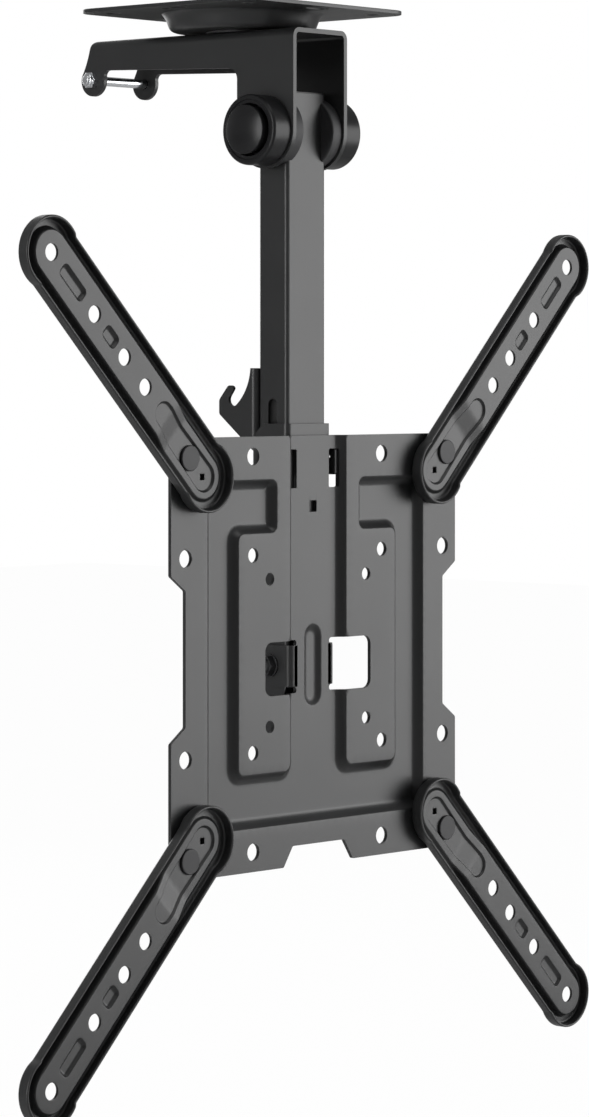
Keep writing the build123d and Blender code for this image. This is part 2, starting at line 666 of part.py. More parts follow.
def hook_outline():
    """Side view of a hook, measured from the pole's axis and the throat's height."""
    r = HOOK_THROAT_R
    web = POLE_DEPTH / 2 + LATCH_CLEAR
    back = THROAT_OFF + HOOK_REACH
    low = LATCH_TOP - LATCH_LENGTH - THROAT_Z
    ramp = radians(HOOK_RAMP_ANGLE)
    ramp_end = (THROAT_OFF - r * sin(ramp), -r * cos(ramp))
    claw = radians(HOOK_CLAW_ANGLE)
    claw_start = (THROAT_OFF + r * cos(claw), r * sin(claw))
    tip_x = THROAT_OFF - HOOK_CLAW_OVERHANG
    tip_low = (tip_x, claw_start[1] + (claw_start[0] - tip_x) / tan(claw))
    tip_top = (tip_x + HOOK_TIP, tip_low[1] + HOOK_TIP)
    web_top = (web + HOOK_HORN, HOOK_TOP_ABOVE_THROAT)
    bow = ((web_top[0] + ramp_end[0]) / 2 - HOOK_BOW, (web_top[1] + ramp_end[1]) / 2 - HOOK_BOW / 2)
    tail = web + LATCH_SHEET
    tail_top = HOOK_BELLY - (back - tail) * tan(radians(HOOK_UNDER_ANGLE))
    low_turn = radians((HOOK_CLAW_ANGLE - HOOK_RAMP_ANGLE - 90) / 2)
    throat_low = (THROAT_OFF + r * cos(low_turn), r * sin(low_turn))
    return make_face([
        Line((web, low), (web, HOOK_TOP_ABOVE_THROAT)),
        Line((web, HOOK_TOP_ABOVE_THROAT), web_top),
        ThreePointArc(web_top, bow, ramp_end),
        ThreePointArc(ramp_end, throat_low, claw_start),
        Line(claw_start, tip_low),
        Line(tip_low, tip_top),
        Line(tip_top, (tip_top[0] + HOOK_CROWN, tip_top[1])),
        Line((tip_top[0] + HOOK_CROWN, tip_top[1]), (back, 0)),
        Line((back, 0), (back, HOOK_BELLY)),
        Line((back, HOOK_BELLY), (tail, tail_top)),
        Line((tail, tail_top), (tail, low)),
        Line((tail, low), (web, low)),
    ])


def latch_hooks():
    """Channel on the back of the pole whose two flanges are the hooks."""
    deep = FOLD_Y + THROAT_OFF + HOOK_REACH + CUT_MARGIN - HOOK_WEB_Y
    section = Pos(0, HOOK_WEB_Y) * bent_channel(LATCH_HALF, deep, LATCH_SHEET, LATCH_BEND_R)
    low = LATCH_TOP - LATCH_LENGTH
    high = THROAT_Z + HOOK_TOP_ABOVE_THROAT
    channel = extrude(Plane.XY.offset(low) * section, high - low)
    side = extrude(sideways(-LATCH_HALF) * Pos(FOLD_Y, THROAT_Z) * hook_outline(), 2 * LATCH_HALF)
    return channel & side


def latch_pin():
    """Pin through the sleeve and the pole's slot, headed at both ends."""
    pin = across(-LATCH_HALF, LATCH_HALF, FOLD_Y, LATCH_PIN_Z, LATCH_PIN_D / 2)
    head = across(
        LATCH_HALF, LATCH_HALF + LATCH_PIN_HEAD_T, FOLD_Y, LATCH_PIN_Z, LATCH_PIN_HEAD_D / 2)
    head = fillet(head.edges().sort_by(Axis.X)[-1], LATCH_PIN_EDGE_R)
    return pin + head + mirror(head, about=Plane.YZ)


def latch_bolt():
    return cross_bolt(
        EAR_FACE, LATCH_BOLT_Y, LATCH_BOLT_Z, LATCH_NUT_AF, LATCH_HEAD_T, LATCH_NUT_T, LATCH_BOLT_D)


def latch_nut():
    return cross_nut(EAR_FACE, LATCH_BOLT_Y, LATCH_BOLT_Z, LATCH_NUT_AF, LATCH_NUT_T, LATCH_BOLT_D)


# Screen plate

def plate_outline():
    half_x = PLATE_WIDTH / 2
    half_z = PLATE_HEIGHT / 2
    right = [
        (BOTTOM_NOTCH_INNER / 2, BOTTOM_NOTCH_DEPTH - half_z),
        (BOTTOM_NOTCH_OUTER / 2, -half_z),
        (half_x, -half_z),
        (half_x, -SIDE_NOTCH_OUTER / 2),
        (half_x - SIDE_NOTCH_DEPTH, -SIDE_NOTCH_INNER / 2),
        (half_x - SIDE_NOTCH_DEPTH, SIDE_NOTCH_INNER / 2),
        (half_x, SIDE_NOTCH_OUTER / 2),
        (half_x, half_z),
    ]
    left = [(-x, z) for x, z in reversed(right)]
    face = Sketch() + Polygon(*right, *left, align=None)

    def at_corner(vertex):
        return abs(vertex.X) > half_x - 1e-6 and abs(vertex.Y) > half_z - 1e-6

    face = fillet([v for v in face.vertices() if not at_corner(v)], PLATE_EDGE_R)
    return fillet([v for v in face.vertices() if at_corner(v)], PLATE_CORNER_R)


def recess_outline(grow=0.0):
    """Area pressed back round the two raised panels, widened by grow on all its edges."""
    half_x = RECESS_HALF_X + grow
    half_z = RECESS_HALF_Z + grow
    inner = PANEL_INNER + grow
    beyond = PLATE_HEIGHT / 2 + FLOOR_BACK + grow
    area = Rectangle(2 * half_x, 2 * half_z)
    area += Pos(0, beyond / 2) * Rectangle(2 * inner, beyond)
    for side in (-1, 1):
        outer = PANEL_OUTER - grow
        panel_z = PANEL_HALF_Z - grow
        middle = side * (inner + outer) / 2
        area -= Pos(middle, 0) * Rectangle(outer - inner, 2 * panel_z)
        neck_outer = NECK_OUTER - grow
        middle = side * (inner + neck_outer) / 2
        area -= Pos(middle, half_z) * Rectangle(neck_outer - inner, 2 * half_z)
    rounded = [v for v in area.vertices() if v.Y < beyond - CUT_MARGIN]
    return fillet(rounded, RECESS_CORNER_R)


def plate_holes():
    """Every round hole of the plate, seen from the front."""
    cuts = []
    for spacing, size in ((VESA_75, SMALL_HOLE_D), (VESA_100, PANEL_HOLE_D)):
        half = spacing / 2
        cuts += [Pos(x, z) * Circle(size / 2) for x in (-half, half) for z in (-half, half)]
    near = VESA_100 / 2
    for x, z, size in ((OUTER_X, near, SIDE_HOLE_D), (near, OUTER_Z, SIDE_HOLE_D), (OUTER_X, OUTER_Z, RIVET_D)):
        cuts += [Pos(sx * x, sz * z) * Circle(size / 2) for sx in (-1, 1) for sz in (-1, 1)]
    cuts.append(Pos(0, KEY_HOLE_UP) * RectangleRounded(KEY_HOLE, KEY_HOLE, KEY_HOLE_R))
    return cuts


def window_cuts():
    tilt = -TILT_BELOW_CENTRE
    low = tilt - WINDOW_BELOW_TILT
    high = tilt + WINDOW_ABOVE_TILT
    width = WINDOW_OUTER - WINDOW_INNER
    cuts = []
    for side in (-1, 1):
        lower = Pos(side * (WINDOW_INNER + width / 2), (low + high) / 2) * Rectangle(width, high - low)
        outer = lower.vertices().sort_by(Axis.X)
        outer = outer[-2:] if side > 0 else outer[:2]
        cuts.append(fillet(outer, WINDOW_CORNER_R))
        for z in (low + RELIEF_R, high - RELIEF_R):
            cuts.append(Pos(side * WINDOW_INNER, z) * Circle(RELIEF_R))
        upper_width = UPPER_EAR_FACE - UPPER_WINDOW_INNER
        cuts.append(
            Pos(side * (UPPER_WINDOW_INNER + upper_width / 2), (UPPER_WINDOW_LOW + UPPER_WINDOW_HIGH) / 2)
            * RectangleRounded(upper_width, UPPER_WINDOW_HIGH - UPPER_WINDOW_LOW, UPPER_WINDOW_R))
    return cuts


def tilt_ear(side):
    """Ear bent back from the centre strip, round the end that holds the tilt bolt."""
    outer = TILT_EAR_FACE
    inner = outer - PLATE_SHEET
    bend = EAR_BEND_R + PLATE_SHEET
    height = 2 * EAR_R
    flat_back = FACE_FORWARD
    flat_front = RECESS_DEPTH + bend
    start = inner if side > 0 else -outer
    flank = Pos((flat_front + flat_back) / 2, -TILT_BELOW_CENTRE) * Rectangle(
        flat_back - flat_front, height)
    flank += Pos(flat_back, -TILT_BELOW_CENTRE) * Circle(EAR_R)
    ear = extrude(sideways(start) * flank, PLATE_SHEET)
    ring = Circle(bend) - Circle(EAR_BEND_R)
    quarter = ring & Pos(bend / 2, -bend / 2) * Rectangle(bend, bend)
    root_x = outer - bend
    strip = Pos(-EAR_ROOT / 2, -bend + PLATE_SHEET / 2) * Rectangle(EAR_ROOT, PLATE_SHEET)
    section = Pos(root_x, flat_front) * (quarter + strip)
    if side < 0:
        section = mirror(section, about=Plane.YZ)
    low = -TILT_BELOW_CENTRE - EAR_R
    ear += extrude(Plane.XY.offset(low) * section, height)
    return ear - across(-outer, outer, FACE_FORWARD, -TILT_BELOW_CENTRE, TILT_BOLT_D / 2 + BOLT_CLEAR)


def upper_ear(side):
    """Small ear bent back beside the latch."""
    outer = UPPER_EAR_FACE
    start = outer - PLATE_SHEET if side > 0 else -outer
    deep = Pos((RECESS_DEPTH + UPPER_EAR_BACK) / 2, (UPPER_EAR_LOW + UPPER_WINDOW_HIGH) / 2)
    flank = deep * Rectangle(UPPER_EAR_BACK - RECESS_DEPTH, UPPER_WINDOW_HIGH - UPPER_EAR_LOW)
    root_low = UPPER_WINDOW_LOW + UPPER_EAR_RELIEF
    root = Pos((RECESS_DEPTH + FLOOR_BACK) / 2, (root_low + UPPER_WINDOW_HIGH) / 2)
    flank += root * Rectangle(PLATE_SHEET, UPPER_WINDOW_HIGH - root_low)
    ear = extrude(sideways(start) * flank, PLATE_SHEET)
    hole = across(-outer, outer, UPPER_EAR_HOLE_BACK, UPPER_EAR_HOLE_UP, UPPER_EAR_HOLE_D / 2)
    return ear - hole


def vesa_plate():
    """Stamped plate, drawn with its front face at y = 0 and then moved to its place."""
    lean = RECESS_RUN / RECESS_DEPTH
    wall = level_offset(PLATE_SHEET, RECESS_RUN, RECESS_DEPTH)
    front = facing(0)
    outline = plate_outline()
    blank = extrude(front * outline, -PLATE_SHEET)
    backs = frustum(front, recess_outline(wall), -FLOOR_BACK, FLOOR_BACK * lean)
    pocket = frustum(front, recess_outline(), -RECESS_DEPTH, RECESS_RUN)
    trim = extrude(front * outline, -FLOOR_BACK)
    plate = blank + (backs & trim) - pocket
    bead_z = -TILT_BELOW_CENTRE
    bead_wall = level_offset(PLATE_SHEET, BEAD_RUN, BEAD_DEPTH)
    floor = facing(RECESS_DEPTH)
    rib_deep = PLATE_SHEET + BEAD_DEPTH
    rib = Pos(0, bead_z) * Rot(0, 0, 90) * SlotOverall(BEAD_LENGTH + 2 * bead_wall, BEAD_WIDTH + 2 * bead_wall)
    plate += frustum(floor, rib, -rib_deep, rib_deep * BEAD_RUN / BEAD_DEPTH)
    dent = Pos(0, bead_z) * Rot(0, 0, 90) * SlotOverall(BEAD_LENGTH, BEAD_WIDTH)
    plate -= frustum(floor, dent, -BEAD_DEPTH, BEAD_RUN)
    cuts = Sketch() + plate_holes() + window_cuts()
    plate -= extrude(front * cuts, -(FLOOR_BACK + BEAD_DEPTH + CUT_MARGIN))
    for side in (-1, 1):
        plate += tilt_ear(side)
        plate += upper_ear(side)
    return Pos(0, FACE_Y, CENTRE_Z) * plate


# Tilt pivot

def tilt_bolt():
    return cross_bolt(
        TILT_OUTER, FOLD_Y, TILT_Z, TILT_HEAD_AF, TILT_HEAD_T, TILT_NUT_T, TILT_BOLT_D)


def tilt_nut():
    return cross_nut(TILT_OUTER, FOLD_Y, TILT_Z, TILT_HEAD_AF, TILT_NUT_T, TILT_BOLT_D)


def tilt_washers():
    return washer_pair(TILT_EAR_FACE, TILT_WASHER_T, FOLD_Y, TILT_Z, TILT_WASHER_D, TILT_BOLT_D)


# Arms

def capsule(half_width, near, far):
    """Stadium from one cap's centre to the other's along x."""
    middle = (near + far) / 2
    return Pos(middle, 0) * SlotCenterToCenter(far - near, 2 * half_width)


def dish_outline(grow=0.0):
    """Tapered slot with round ends, about the rivet."""
    near_r = DISH_INNER_R + grow
    far_r = DISH_OUTER_R + grow
    near_x = -ARM_PIVOT_END
    span = DISH_OUTER_AT - near_x
    lean = asin((far_r - near_r) / span)
    near_x1 = near_x - near_r * sin(lean)
    far_x1 = DISH_OUTER_AT - far_r * sin(lean)
    near_y1 = near_r * cos(lean)
    far_y1 = far_r * cos(lean)
    return make_face([
        Line((near_x1, near_y1), (far_x1, far_y1)),
        ThreePointArc((far_x1, far_y1), (DISH_OUTER_AT + far_r, 0), (far_x1, -far_y1)),
        Line((far_x1, -far_y1), (near_x1, -near_y1)),
        ThreePointArc((near_x1, -near_y1), (near_x - near_r, 0), (near_x1, near_y1)),
    ])


def below_floor(drop):
    """All that lies at least drop under the arm's floor, which is low about the rivet and high beyond."""
    near = -ARM_PIVOT_END - ARM_CAP_R - CUT_MARGIN
    far = ARM_FAR + ARM_CAP_R + CUT_MARGIN
    low = ARM_FLOOR_LOW - drop
    high = ARM_FLOOR_HIGH - drop
    side = Polygon(
        (near, -2 * CUT_MARGIN), (near, low), (ARM_RAMP_START, low), (ARM_RAMP_END, high), (far, high),
        (far, -2 * CUT_MARGIN), align=None)
    return extrude(Plane.XZ * side, ARM_CAP_R + CUT_MARGIN, both=True)


def arm_tray():
    """Shallow tray of the arm, its rim a little wider and higher round both ends."""
    near = -ARM_PIVOT_END
    far = ARM_FAR
    tray = extrude(capsule(ARM_HALF_WIDTH, near, far), ARM_HEIGHT)
    for x in (near, far):
        tray += extrude(Pos(x, 0) * Circle(ARM_CAP_R), ARM_CAP_HEIGHT)
    inside = capsule(ARM_HALF_WIDTH - ARM_SHEET, near, far)
    tray -= extrude(Plane.XY.offset(ARM_SHEET) * inside, ARM_CAP_HEIGHT)
    spare = ARM_CAP_HEIGHT - ARM_HEIGHT + CUT_MARGIN
    return tray - Pos((near + far) / 2, 0, ARM_HEIGHT + spare / 2) * Box(
        far - near - 2 * ARM_CAP_OVERLAP, 2 * ARM_CAP_R + 2 * CUT_MARGIN, spare)


def arm_beads(grow=0.0):
    """Outlines of the two short beads, widened by grow."""
    for centre, length in zip(ARM_BEAD_CENTRES, ARM_BEAD_LENGTHS):
        yield Pos(centre, 0) * RectangleRounded(
            length + 2 * grow, ARM_BEAD_WIDTH + 2 * grow, ARM_BEAD_CORNER_R)


def arm():
    """One arm lying along x, with its back at z = 0 and the rivet's axis at the origin."""
    near = -ARM_PIVOT_END
    far = ARM_FAR
    rise = ARM_FLOOR_HIGH - ARM_SHEET
    lean = ARM_FLOOR_RUN / rise
    floor = frustum(Plane.XY.offset(ARM_SHEET), capsule(ARM_FLOOR_HALF, near, far), rise, ARM_FLOOR_RUN)
    body = arm_tray() + (floor & below_floor(0))
    start = -CUT_MARGIN
    foot = ARM_FLOOR_HALF + lean * (ARM_SHEET - start) - level_offset(ARM_SHEET, ARM_FLOOR_RUN, rise)
    pocket = frustum(Plane.XY.offset(start), capsule(foot, near, far), rise - start, (rise - start) * lean)
    dish_back = extrude(Plane.XY.offset(start) * dish_outline(ARM_SHEET), ARM_CAP_HEIGHT)
    body -= (pocket - dish_back) & below_floor(ARM_SHEET)
    body -= dish_back & below_floor(ARM_SHEET + DISH_DEPTH)
    dish = extrude(Plane.XY.offset(start) * dish_outline(), ARM_CAP_HEIGHT - start)
    body -= dish - below_floor(DISH_DEPTH)
    bead_lean = ARM_BEAD_RUN / ARM_BEAD_DEPTH
    bead_wall = level_offset(ARM_SHEET, ARM_BEAD_RUN, ARM_BEAD_DEPTH) - bead_lean * ARM_SHEET
    for bead in arm_beads(bead_wall):
        body += frustum(Plane.XY.offset(ARM_FLOOR_HIGH - ARM_SHEET), bead, -ARM_BEAD_DEPTH, ARM_BEAD_RUN)
    for bead in arm_beads():
        body -= frustum(Plane.XY.offset(ARM_FLOOR_HIGH), bead, -ARM_BEAD_DEPTH, ARM_BEAD_RUN)
    cuts = [Pos(x, 0) * Circle(ARM_HOLE_D / 2) for x in (*ARM_HOLES, far)]
    cuts.append(Circle(RIVET_D / 2 + SHAFT_CLEAR))
    cuts.append(Pos(near, 0) * Rot(0, 0, 45) * Rectangle(ARM_SQUARE, ARM_SQUARE))
    return body - extrude(Sketch() + cuts, ARM_CAP_HEIGHT)


def arm_seats():
    """Name and place of each arm: its x axis runs out along the arm."""
    lean = radians(ARM_LEAN)
    back_y = FACE_Y - ARM_WASHER_T - TURN_GAP
    for name, side, up in (
            ("arm_top_left", -1, 1), ("arm_top_right", 1, 1),
            ("arm_bottom_left", -1, -1), ("arm_bottom_right", 1, -1)):
        yield name, Plane(
            origin=(side * OUTER_X, back_y, CENTRE_Z + up * OUTER_Z),
            x_dir=(side * cos(lean), 0, up * sin(lean)), z_dir=(0, -1, 0))


def arm_rivets():
    """Headed rivets; the shank runs from the head through arm, washer and plate."""
    head_z = ARM_SHEET + TURN_GAP
    back_z = -(TURN_GAP + ARM_WASHER_T + PLATE_SHEET)
    head = extrude(Plane.XY.offset(head_z) * Circle(RIVET_HEAD_D / 2), RIVET_HEAD_T)
    head = fillet(head.edges().sort_by(Axis.Z)[-1], RIVET_HEAD_R)
    shank = extrude(Plane.XY.offset(back_z) * Circle(RIVET_D / 2), head_z - back_z)
    tail = extrude(Plane.XY.offset(back_z) * Circle(RIVET_TAIL_D / 2), -RIVET_TAIL_T)
    tail = fillet(tail.edges().sort_by(Axis.Z)[0], RIVET_TAIL_R)
    rivet = solid(head + shank + tail)
    return Compound(children=[seat * rivet for name, seat in arm_seats()])


def arm_washers():
    ring = Circle(ARM_WASHER_D / 2) - Circle(RIVET_D / 2)
    washer = solid(extrude(Plane.XY.offset(-TURN_GAP) * ring, -ARM_WASHER_T))
    return Compound(children=[seat * washer for name, seat in arm_seats()])


def pieces():
    yield "ceiling_plate", ceiling_plate()
    yield "swivel_bolt", swivel_bolt()
    yield "swivel_head_washer", swivel_head_washer()
    yield "swivel_glide_washer", swivel_glide_washer()
    yield "swivel_lower_washer", swivel_lower_washer()
    yield "swivel_nut", swivel_nut()
    yield "fold_bracket", fold_bracket()
    yield "pivot_bolt", pivot_bolt()
    yield "pivot_nut", pivot_nut()
    yield "pivot_steel_washers", pivot_steel_washers()
    yield "pivot_friction_washers", pivot_friction_washers()
    for name, side in (("left", -1), ("right", 1)):
        yield "pivot_cover_" + name, pivot_cover(side)
        yield "pivot_cap_" + name, pivot_cap(side)
    yield "latch_bolt", latch_bolt()
    yield "latch_nut", latch_nut()
    yield "pole_tube", pole_tube()
    yield "pole_plug", pole_plug()
    yield "pivot_spacer", spacer(FOLD_Z, PIVOT_SPACER_D, PIVOT_BOLT_D)
    yield "tilt_spacer", spacer(TILT_Z, TILT_SPACER_D, TILT_BOLT_D)
    yield "latch_sleeve", latch_sleeve()
    yield "latch_hooks", latch_hooks()
    yield "latch_pin", latch_pin()
    yield "vesa_plate", vesa_plate()
    yield "tilt_bolt", tilt_bolt()
    yield "tilt_nut", tilt_nut()
    yield "tilt_washers", tilt_washers()
    one_arm = solid(arm())
    for name, seat in arm_seats():
        yield name, seat * one_arm
    yield "arm_rivets", arm_rivets()
    yield "arm_washers", arm_washers()


os.makedirs("parts", exist_ok=True)
for node, shape in pieces():
    export_step(solid(shape), "parts/" + node + ".step")
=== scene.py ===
"""Looks of a fold-down ceiling mount for a flat screen: pressed and folded sheets, turned
fittings, powder coat, zinc and moulded plastic, in a plain white studio."""

import json
from math import asin, ceil, cos, pi, radians, sin, sqrt, tan

import bmesh
import bpy
import numpy as np
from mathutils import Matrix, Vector
from mathutils.geometry import delaunay_2d_cdt


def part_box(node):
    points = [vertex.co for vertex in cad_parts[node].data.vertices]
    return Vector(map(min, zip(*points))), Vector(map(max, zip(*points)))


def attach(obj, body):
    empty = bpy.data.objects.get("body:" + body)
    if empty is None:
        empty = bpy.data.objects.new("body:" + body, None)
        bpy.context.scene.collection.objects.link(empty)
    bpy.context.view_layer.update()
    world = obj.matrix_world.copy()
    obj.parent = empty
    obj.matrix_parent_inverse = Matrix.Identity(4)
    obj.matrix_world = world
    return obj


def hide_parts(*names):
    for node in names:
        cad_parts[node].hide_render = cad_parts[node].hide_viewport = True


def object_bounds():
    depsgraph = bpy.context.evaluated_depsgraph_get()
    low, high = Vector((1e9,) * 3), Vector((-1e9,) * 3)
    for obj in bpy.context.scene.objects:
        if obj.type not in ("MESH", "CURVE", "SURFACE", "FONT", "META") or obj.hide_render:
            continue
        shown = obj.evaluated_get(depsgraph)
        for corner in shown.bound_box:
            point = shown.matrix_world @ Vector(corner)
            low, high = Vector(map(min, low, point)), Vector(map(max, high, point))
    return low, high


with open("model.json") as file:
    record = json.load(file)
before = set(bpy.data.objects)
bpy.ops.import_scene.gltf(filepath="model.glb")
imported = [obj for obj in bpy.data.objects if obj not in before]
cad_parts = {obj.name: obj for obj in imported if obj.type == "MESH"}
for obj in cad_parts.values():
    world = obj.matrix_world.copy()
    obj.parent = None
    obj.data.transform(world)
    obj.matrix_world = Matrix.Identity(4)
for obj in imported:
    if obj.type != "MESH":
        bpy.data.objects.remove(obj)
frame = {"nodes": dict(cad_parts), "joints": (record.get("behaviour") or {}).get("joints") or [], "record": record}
cad_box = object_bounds()
nodes = frame["nodes"]
joints = {joint["name"]: joint for joint in frame["joints"]}
scene = bpy.context.scene

# Shapes are drawn in millimetres and written to meshes in metres.
MM = 0.001
FOLD = np.array(joints["fold"]["pos_m"]) / MM
TILT = np.array(joints["screen_tilt"]["pos_m"]) / MM
FACE_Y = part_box("vesa_plate")[0].y / MM
UPPER_ARMS_Z = joints["arm_top_left_swing"]["pos_m"][2] / MM
LOWER_ARMS_Z = joints["arm_bottom_left_swing"]["pos_m"][2] / MM
CENTRE_Z = (UPPER_ARMS_Z + LOWER_ARMS_Z) / 2
TILT_DOWN = CENTRE_Z - TILT[2]

# Points closer than this, in metres, are one point
SAME_POINT = 2e-6

# Camera, from the photograph's 589 x 1117 pixels
PHOTO_HEIGHT = 1117
FOCAL_PIXELS = 4048.2
HORIZON_ROW = 365.8
CAMERA_TURN = 48.38
CAMERA_AT = (-1.5650, -1.4268, -0.1858)
SENSOR = 36.0

# Screen plate; SHEET is also the ceiling plate's thickness
SHEET = 2.0
PLATE_HALF_X = 110.5
PLATE_HALF_Z = 110.0
RECESS_DEPTH = 4.0
PRESS_RUN = 3.2
PRESS_EDGE = 0.5
PRESS_FOOT = 2.2
EDGE_ROUND = 0.35
FOLD_TURN = 52.0
EAR_GAP = 0.3
EAR_ROUND = 10.6
EAR_FLAT = 3.0
EAR_BEND = 3.0
POLE_HALF = 15.0
LATCH_HALF = 17.0

# Arms
ARM_SHEET = 1.5
ARM_HALF = 17.1
ARM_CAP_R = 17.9
ARM_NEAR = -13.4
ARM_HOLES = (50.0, 70.7, 100.0)
ARM_FAR = 100.0 * sqrt(2)
ARM_HOLE_R = 4.3
ARM_RIM = 6.0
ARM_CAP_RIM = 7.0
ARM_FLOOR_R = 1.0
ARM_OUTER_R = 1.7
ISLAND_LOW = 1.2
ISLAND_HIGH = 4.0
RAMP_START = 16.0
RAMP_END = 28.0
ISLAND_HALF = 12.4
DISH_DEPTH = 1.2
BEAD_DEPTH = 1.6
ARM_BEADS = ((121.2, 20.0), (84.5, 10.6))

# Rivets that the arms swing on
RIVET_HEAD_R = 6.5
RIVET_SHANK_R = 4.0
RIVET_HOLE_R = 4.05

# Latch
SLOT_HALF = 3.1
SLOT_ABOVE = 7.6
CLAW_BEHIND = 16.0
CLAW_ROUND = 1.4

# Directions of the arms, in degrees from +X towards +Z
ARM_TURNS = {
    "arm_top_left": 135.0,
    "arm_top_right": 45.0,
    "arm_bottom_left": 225.0,
    "arm_bottom_right": 315.0,
}

# Lights: place, size, watts
STUDIO_MIDDLE = (0.0, 0.0, -0.28)
LIGHTS = {
    "key": ((1.85, -1.80, -0.5), (2.0, 2.5), 72.0),
    "left": ((-2.43, 0.02, -0.3), (0.3, 2.6), 44.0),
    "top": ((-0.2, -0.6, 1.6), (1.4, 1.4), 9.0),
    "back": ((1.0, 2.3, 0.3), (1.4, 1.8), 18.0),
}
AMBIENT = 0.07
MIRRORED_WORLD = 0.25
FLOOR_DROP = 0.22
FLOOR_HALF = 7.0
FLOOR_WHITE = 0.9
FLOOR_GLOW = 0.98


# Shader values as plain expressions

class Value:
    """One output of a node; sums and products of it add Math nodes."""

    def __init__(self, work, socket):
        self.work = work
        self.socket = socket

    def maths(self, operation, first, second):
        return self.work.add("ShaderNodeMath", {"operation": operation}, {0: first, 1: second})

    def __add__(self, other):
        return self.maths("ADD", self, other)

    def __radd__(self, other):
        return self.maths("ADD", other, self)

    def __mul__(self, other):
        return self.maths("MULTIPLY", self, other)

    def __rmul__(self, other):
        return self.maths("MULTIPLY", other, self)

    def over(self, other):
        """The larger of two values."""
        return self.maths("MAXIMUM", self, other)


class NodeWork:
    """A node tree with one way of adding a node: its type, its settings, then its sockets."""

    def __init__(self, tree):
        self.tree = tree

    def add(self, kind, settings=None, sockets=None, output=0):
        node = self.tree.nodes.new(kind)
        for key, value in (settings or {}).items():
            setattr(node, key, value)
        for key, value in (sockets or {}).items():
            self.feed(node.inputs[key], value)
        return Value(self, node.outputs[output])

    def feed(self, socket, value):
        if isinstance(value, Value):
            self.tree.links.new(value.socket, socket)
        else:
            socket.default_value = value


class Finish(NodeWork):
    """A material on the Principled shader, with numbers that are the same all over set directly."""

    def __init__(self, name, **plain):
        self.material = bpy.data.materials.new(name)
        self.material.use_nodes = True
        super().__init__(self.material.node_tree)
        self.shader = self.tree.nodes["Principled BSDF"]
        for socket, value in plain.items():
            self.shader.inputs[socket.replace("_", " ")].default_value = value
        self.place = self.add("ShaderNodeTexCoord", output=3)

    def noise(self, size, detail=2.0, roughness=0.5, stretch=None):
        """Noise whose features are about size millimetres across."""
        place = self.place
        if stretch:
            place = self.add("ShaderNodeMapping", {}, {"Vector": place, "Scale": stretch})
        return self.add("ShaderNodeTexNoise", {}, {
            "Vector": place, "Scale": 1.0 / (size * MM), "Detail": detail, "Roughness": roughness})

    def blend(self, factor, first, second):
        return self.add("ShaderNodeMix", {"data_type": "RGBA"}, {0: factor, 6: first, 7: second}, output=2)

    def bump(self, height, depth, strength=1.0):
        """Relief of a height from 0 to 1 that is depth millimetres deep."""
        return self.add("ShaderNodeBump", {}, {
            "Height": height, "Distance": depth * MM, "Strength": strength})

    def wear(self, **linked):
        """Links what changes over the surface and gives the material back."""
        for socket, value in linked.items():
            self.feed(self.shader.inputs[socket.replace("_", " ")], value)
        return self.material


def powder_coat():
    """Satin black coat: fine orange peel, faint clouding and a little grain in its gloss."""
    coat = Finish("powder_coat", Specular_IOR_Level=0.46)
    cloud = coat.noise(38.0, detail=3.0)
    grain = coat.noise(0.45, detail=3.0, roughness=0.6)
    peel = coat.noise(1.5, detail=2.0)
    colour = coat.blend(cloud, (0.018, 0.0184, 0.019, 1), (0.025, 0.0254, 0.026, 1))
    rough = 0.32 + 0.06 * cloud + 0.07 * grain
    relief = coat.bump(0.7 * peel + 0.3 * grain, 0.03, 0.55)
    return coat.wear(Base_Color=colour, Roughness=rough, Normal=relief)


def black_oxide():
    """Rivet heads: smoother than the coat, with fine turning marks."""
    coat = Finish("black_steel", Specular_IOR_Level=0.3)
    cloud = coat.noise(9.0, detail=3.0)
    grain = coat.noise(0.35, detail=2.0)
    colour = coat.blend(cloud, (0.026, 0.026, 0.028, 1), (0.038, 0.038, 0.040, 1))
    rough = 0.40 + 0.08 * cloud + 0.05 * grain
    return coat.wear(Base_Color=colour, Roughness=rough, Normal=coat.bump(grain, 0.012, 0.5))


def moulded_plastic():
    """Black plastic with a soft sheen and the faint grain of its mould."""
    plastic = Finish("black_plastic", Specular_IOR_Level=0.22)
    cloud = plastic.noise(16.0, detail=2.0)
    grain = plastic.noise(0.30, detail=2.0)
    colour = plastic.blend(cloud, (0.011, 0.011, 0.012, 1), (0.016, 0.016, 0.017, 1))
    rough = 0.27 + 0.04 * cloud + 0.04 * grain
    return plastic.wear(Base_Color=colour, Roughness=rough, Normal=plastic.bump(grain, 0.010, 0.5))


def dark_nylon():
    """Friction washers: dull, slightly mottled."""
    nylon = Finish("friction_plastic", Specular_IOR_Level=0.4)
    cloud = nylon.noise(6.0, detail=3.0)
    grain = nylon.noise(0.4)
    colour = nylon.blend(cloud, (0.028, 0.028, 0.030, 1), (0.045, 0.045, 0.047, 1))
    rough = 0.50 + 0.12 * grain
    return nylon.wear(Base_Color=colour, Roughness=rough, Normal=nylon.bump(grain, 0.015, 0.5))


def zinc():
    """Bright zinc plate: cool metal, cloudy gloss, fine scratches."""
    plate = Finish("zinc_plate", Metallic=1.0)
    cloud = plate.noise(3.5, detail=4.0, roughness=0.6)
    scratch = plate.noise(0.35, detail=2.0, stretch=(0.15, 1.0, 1.0))
    colour = plate.blend(cloud, (0.62, 0.64, 0.67, 1), (0.80, 0.81, 0.82, 1))
    rough = 0.14 + 0.10 * cloud + 0.04 * scratch
    return plate.wear(Base_Color=colour, Roughness=rough, Normal=plate.bump(scratch, 0.002, 0.4))


COATS = {
    "powder_coat": powder_coat(),
    "black_steel": black_oxide(),
    "black_plastic": moulded_plastic(),
    "friction_plastic": dark_nylon(),
    "zinc_plate": zinc(),
}


# Meshes

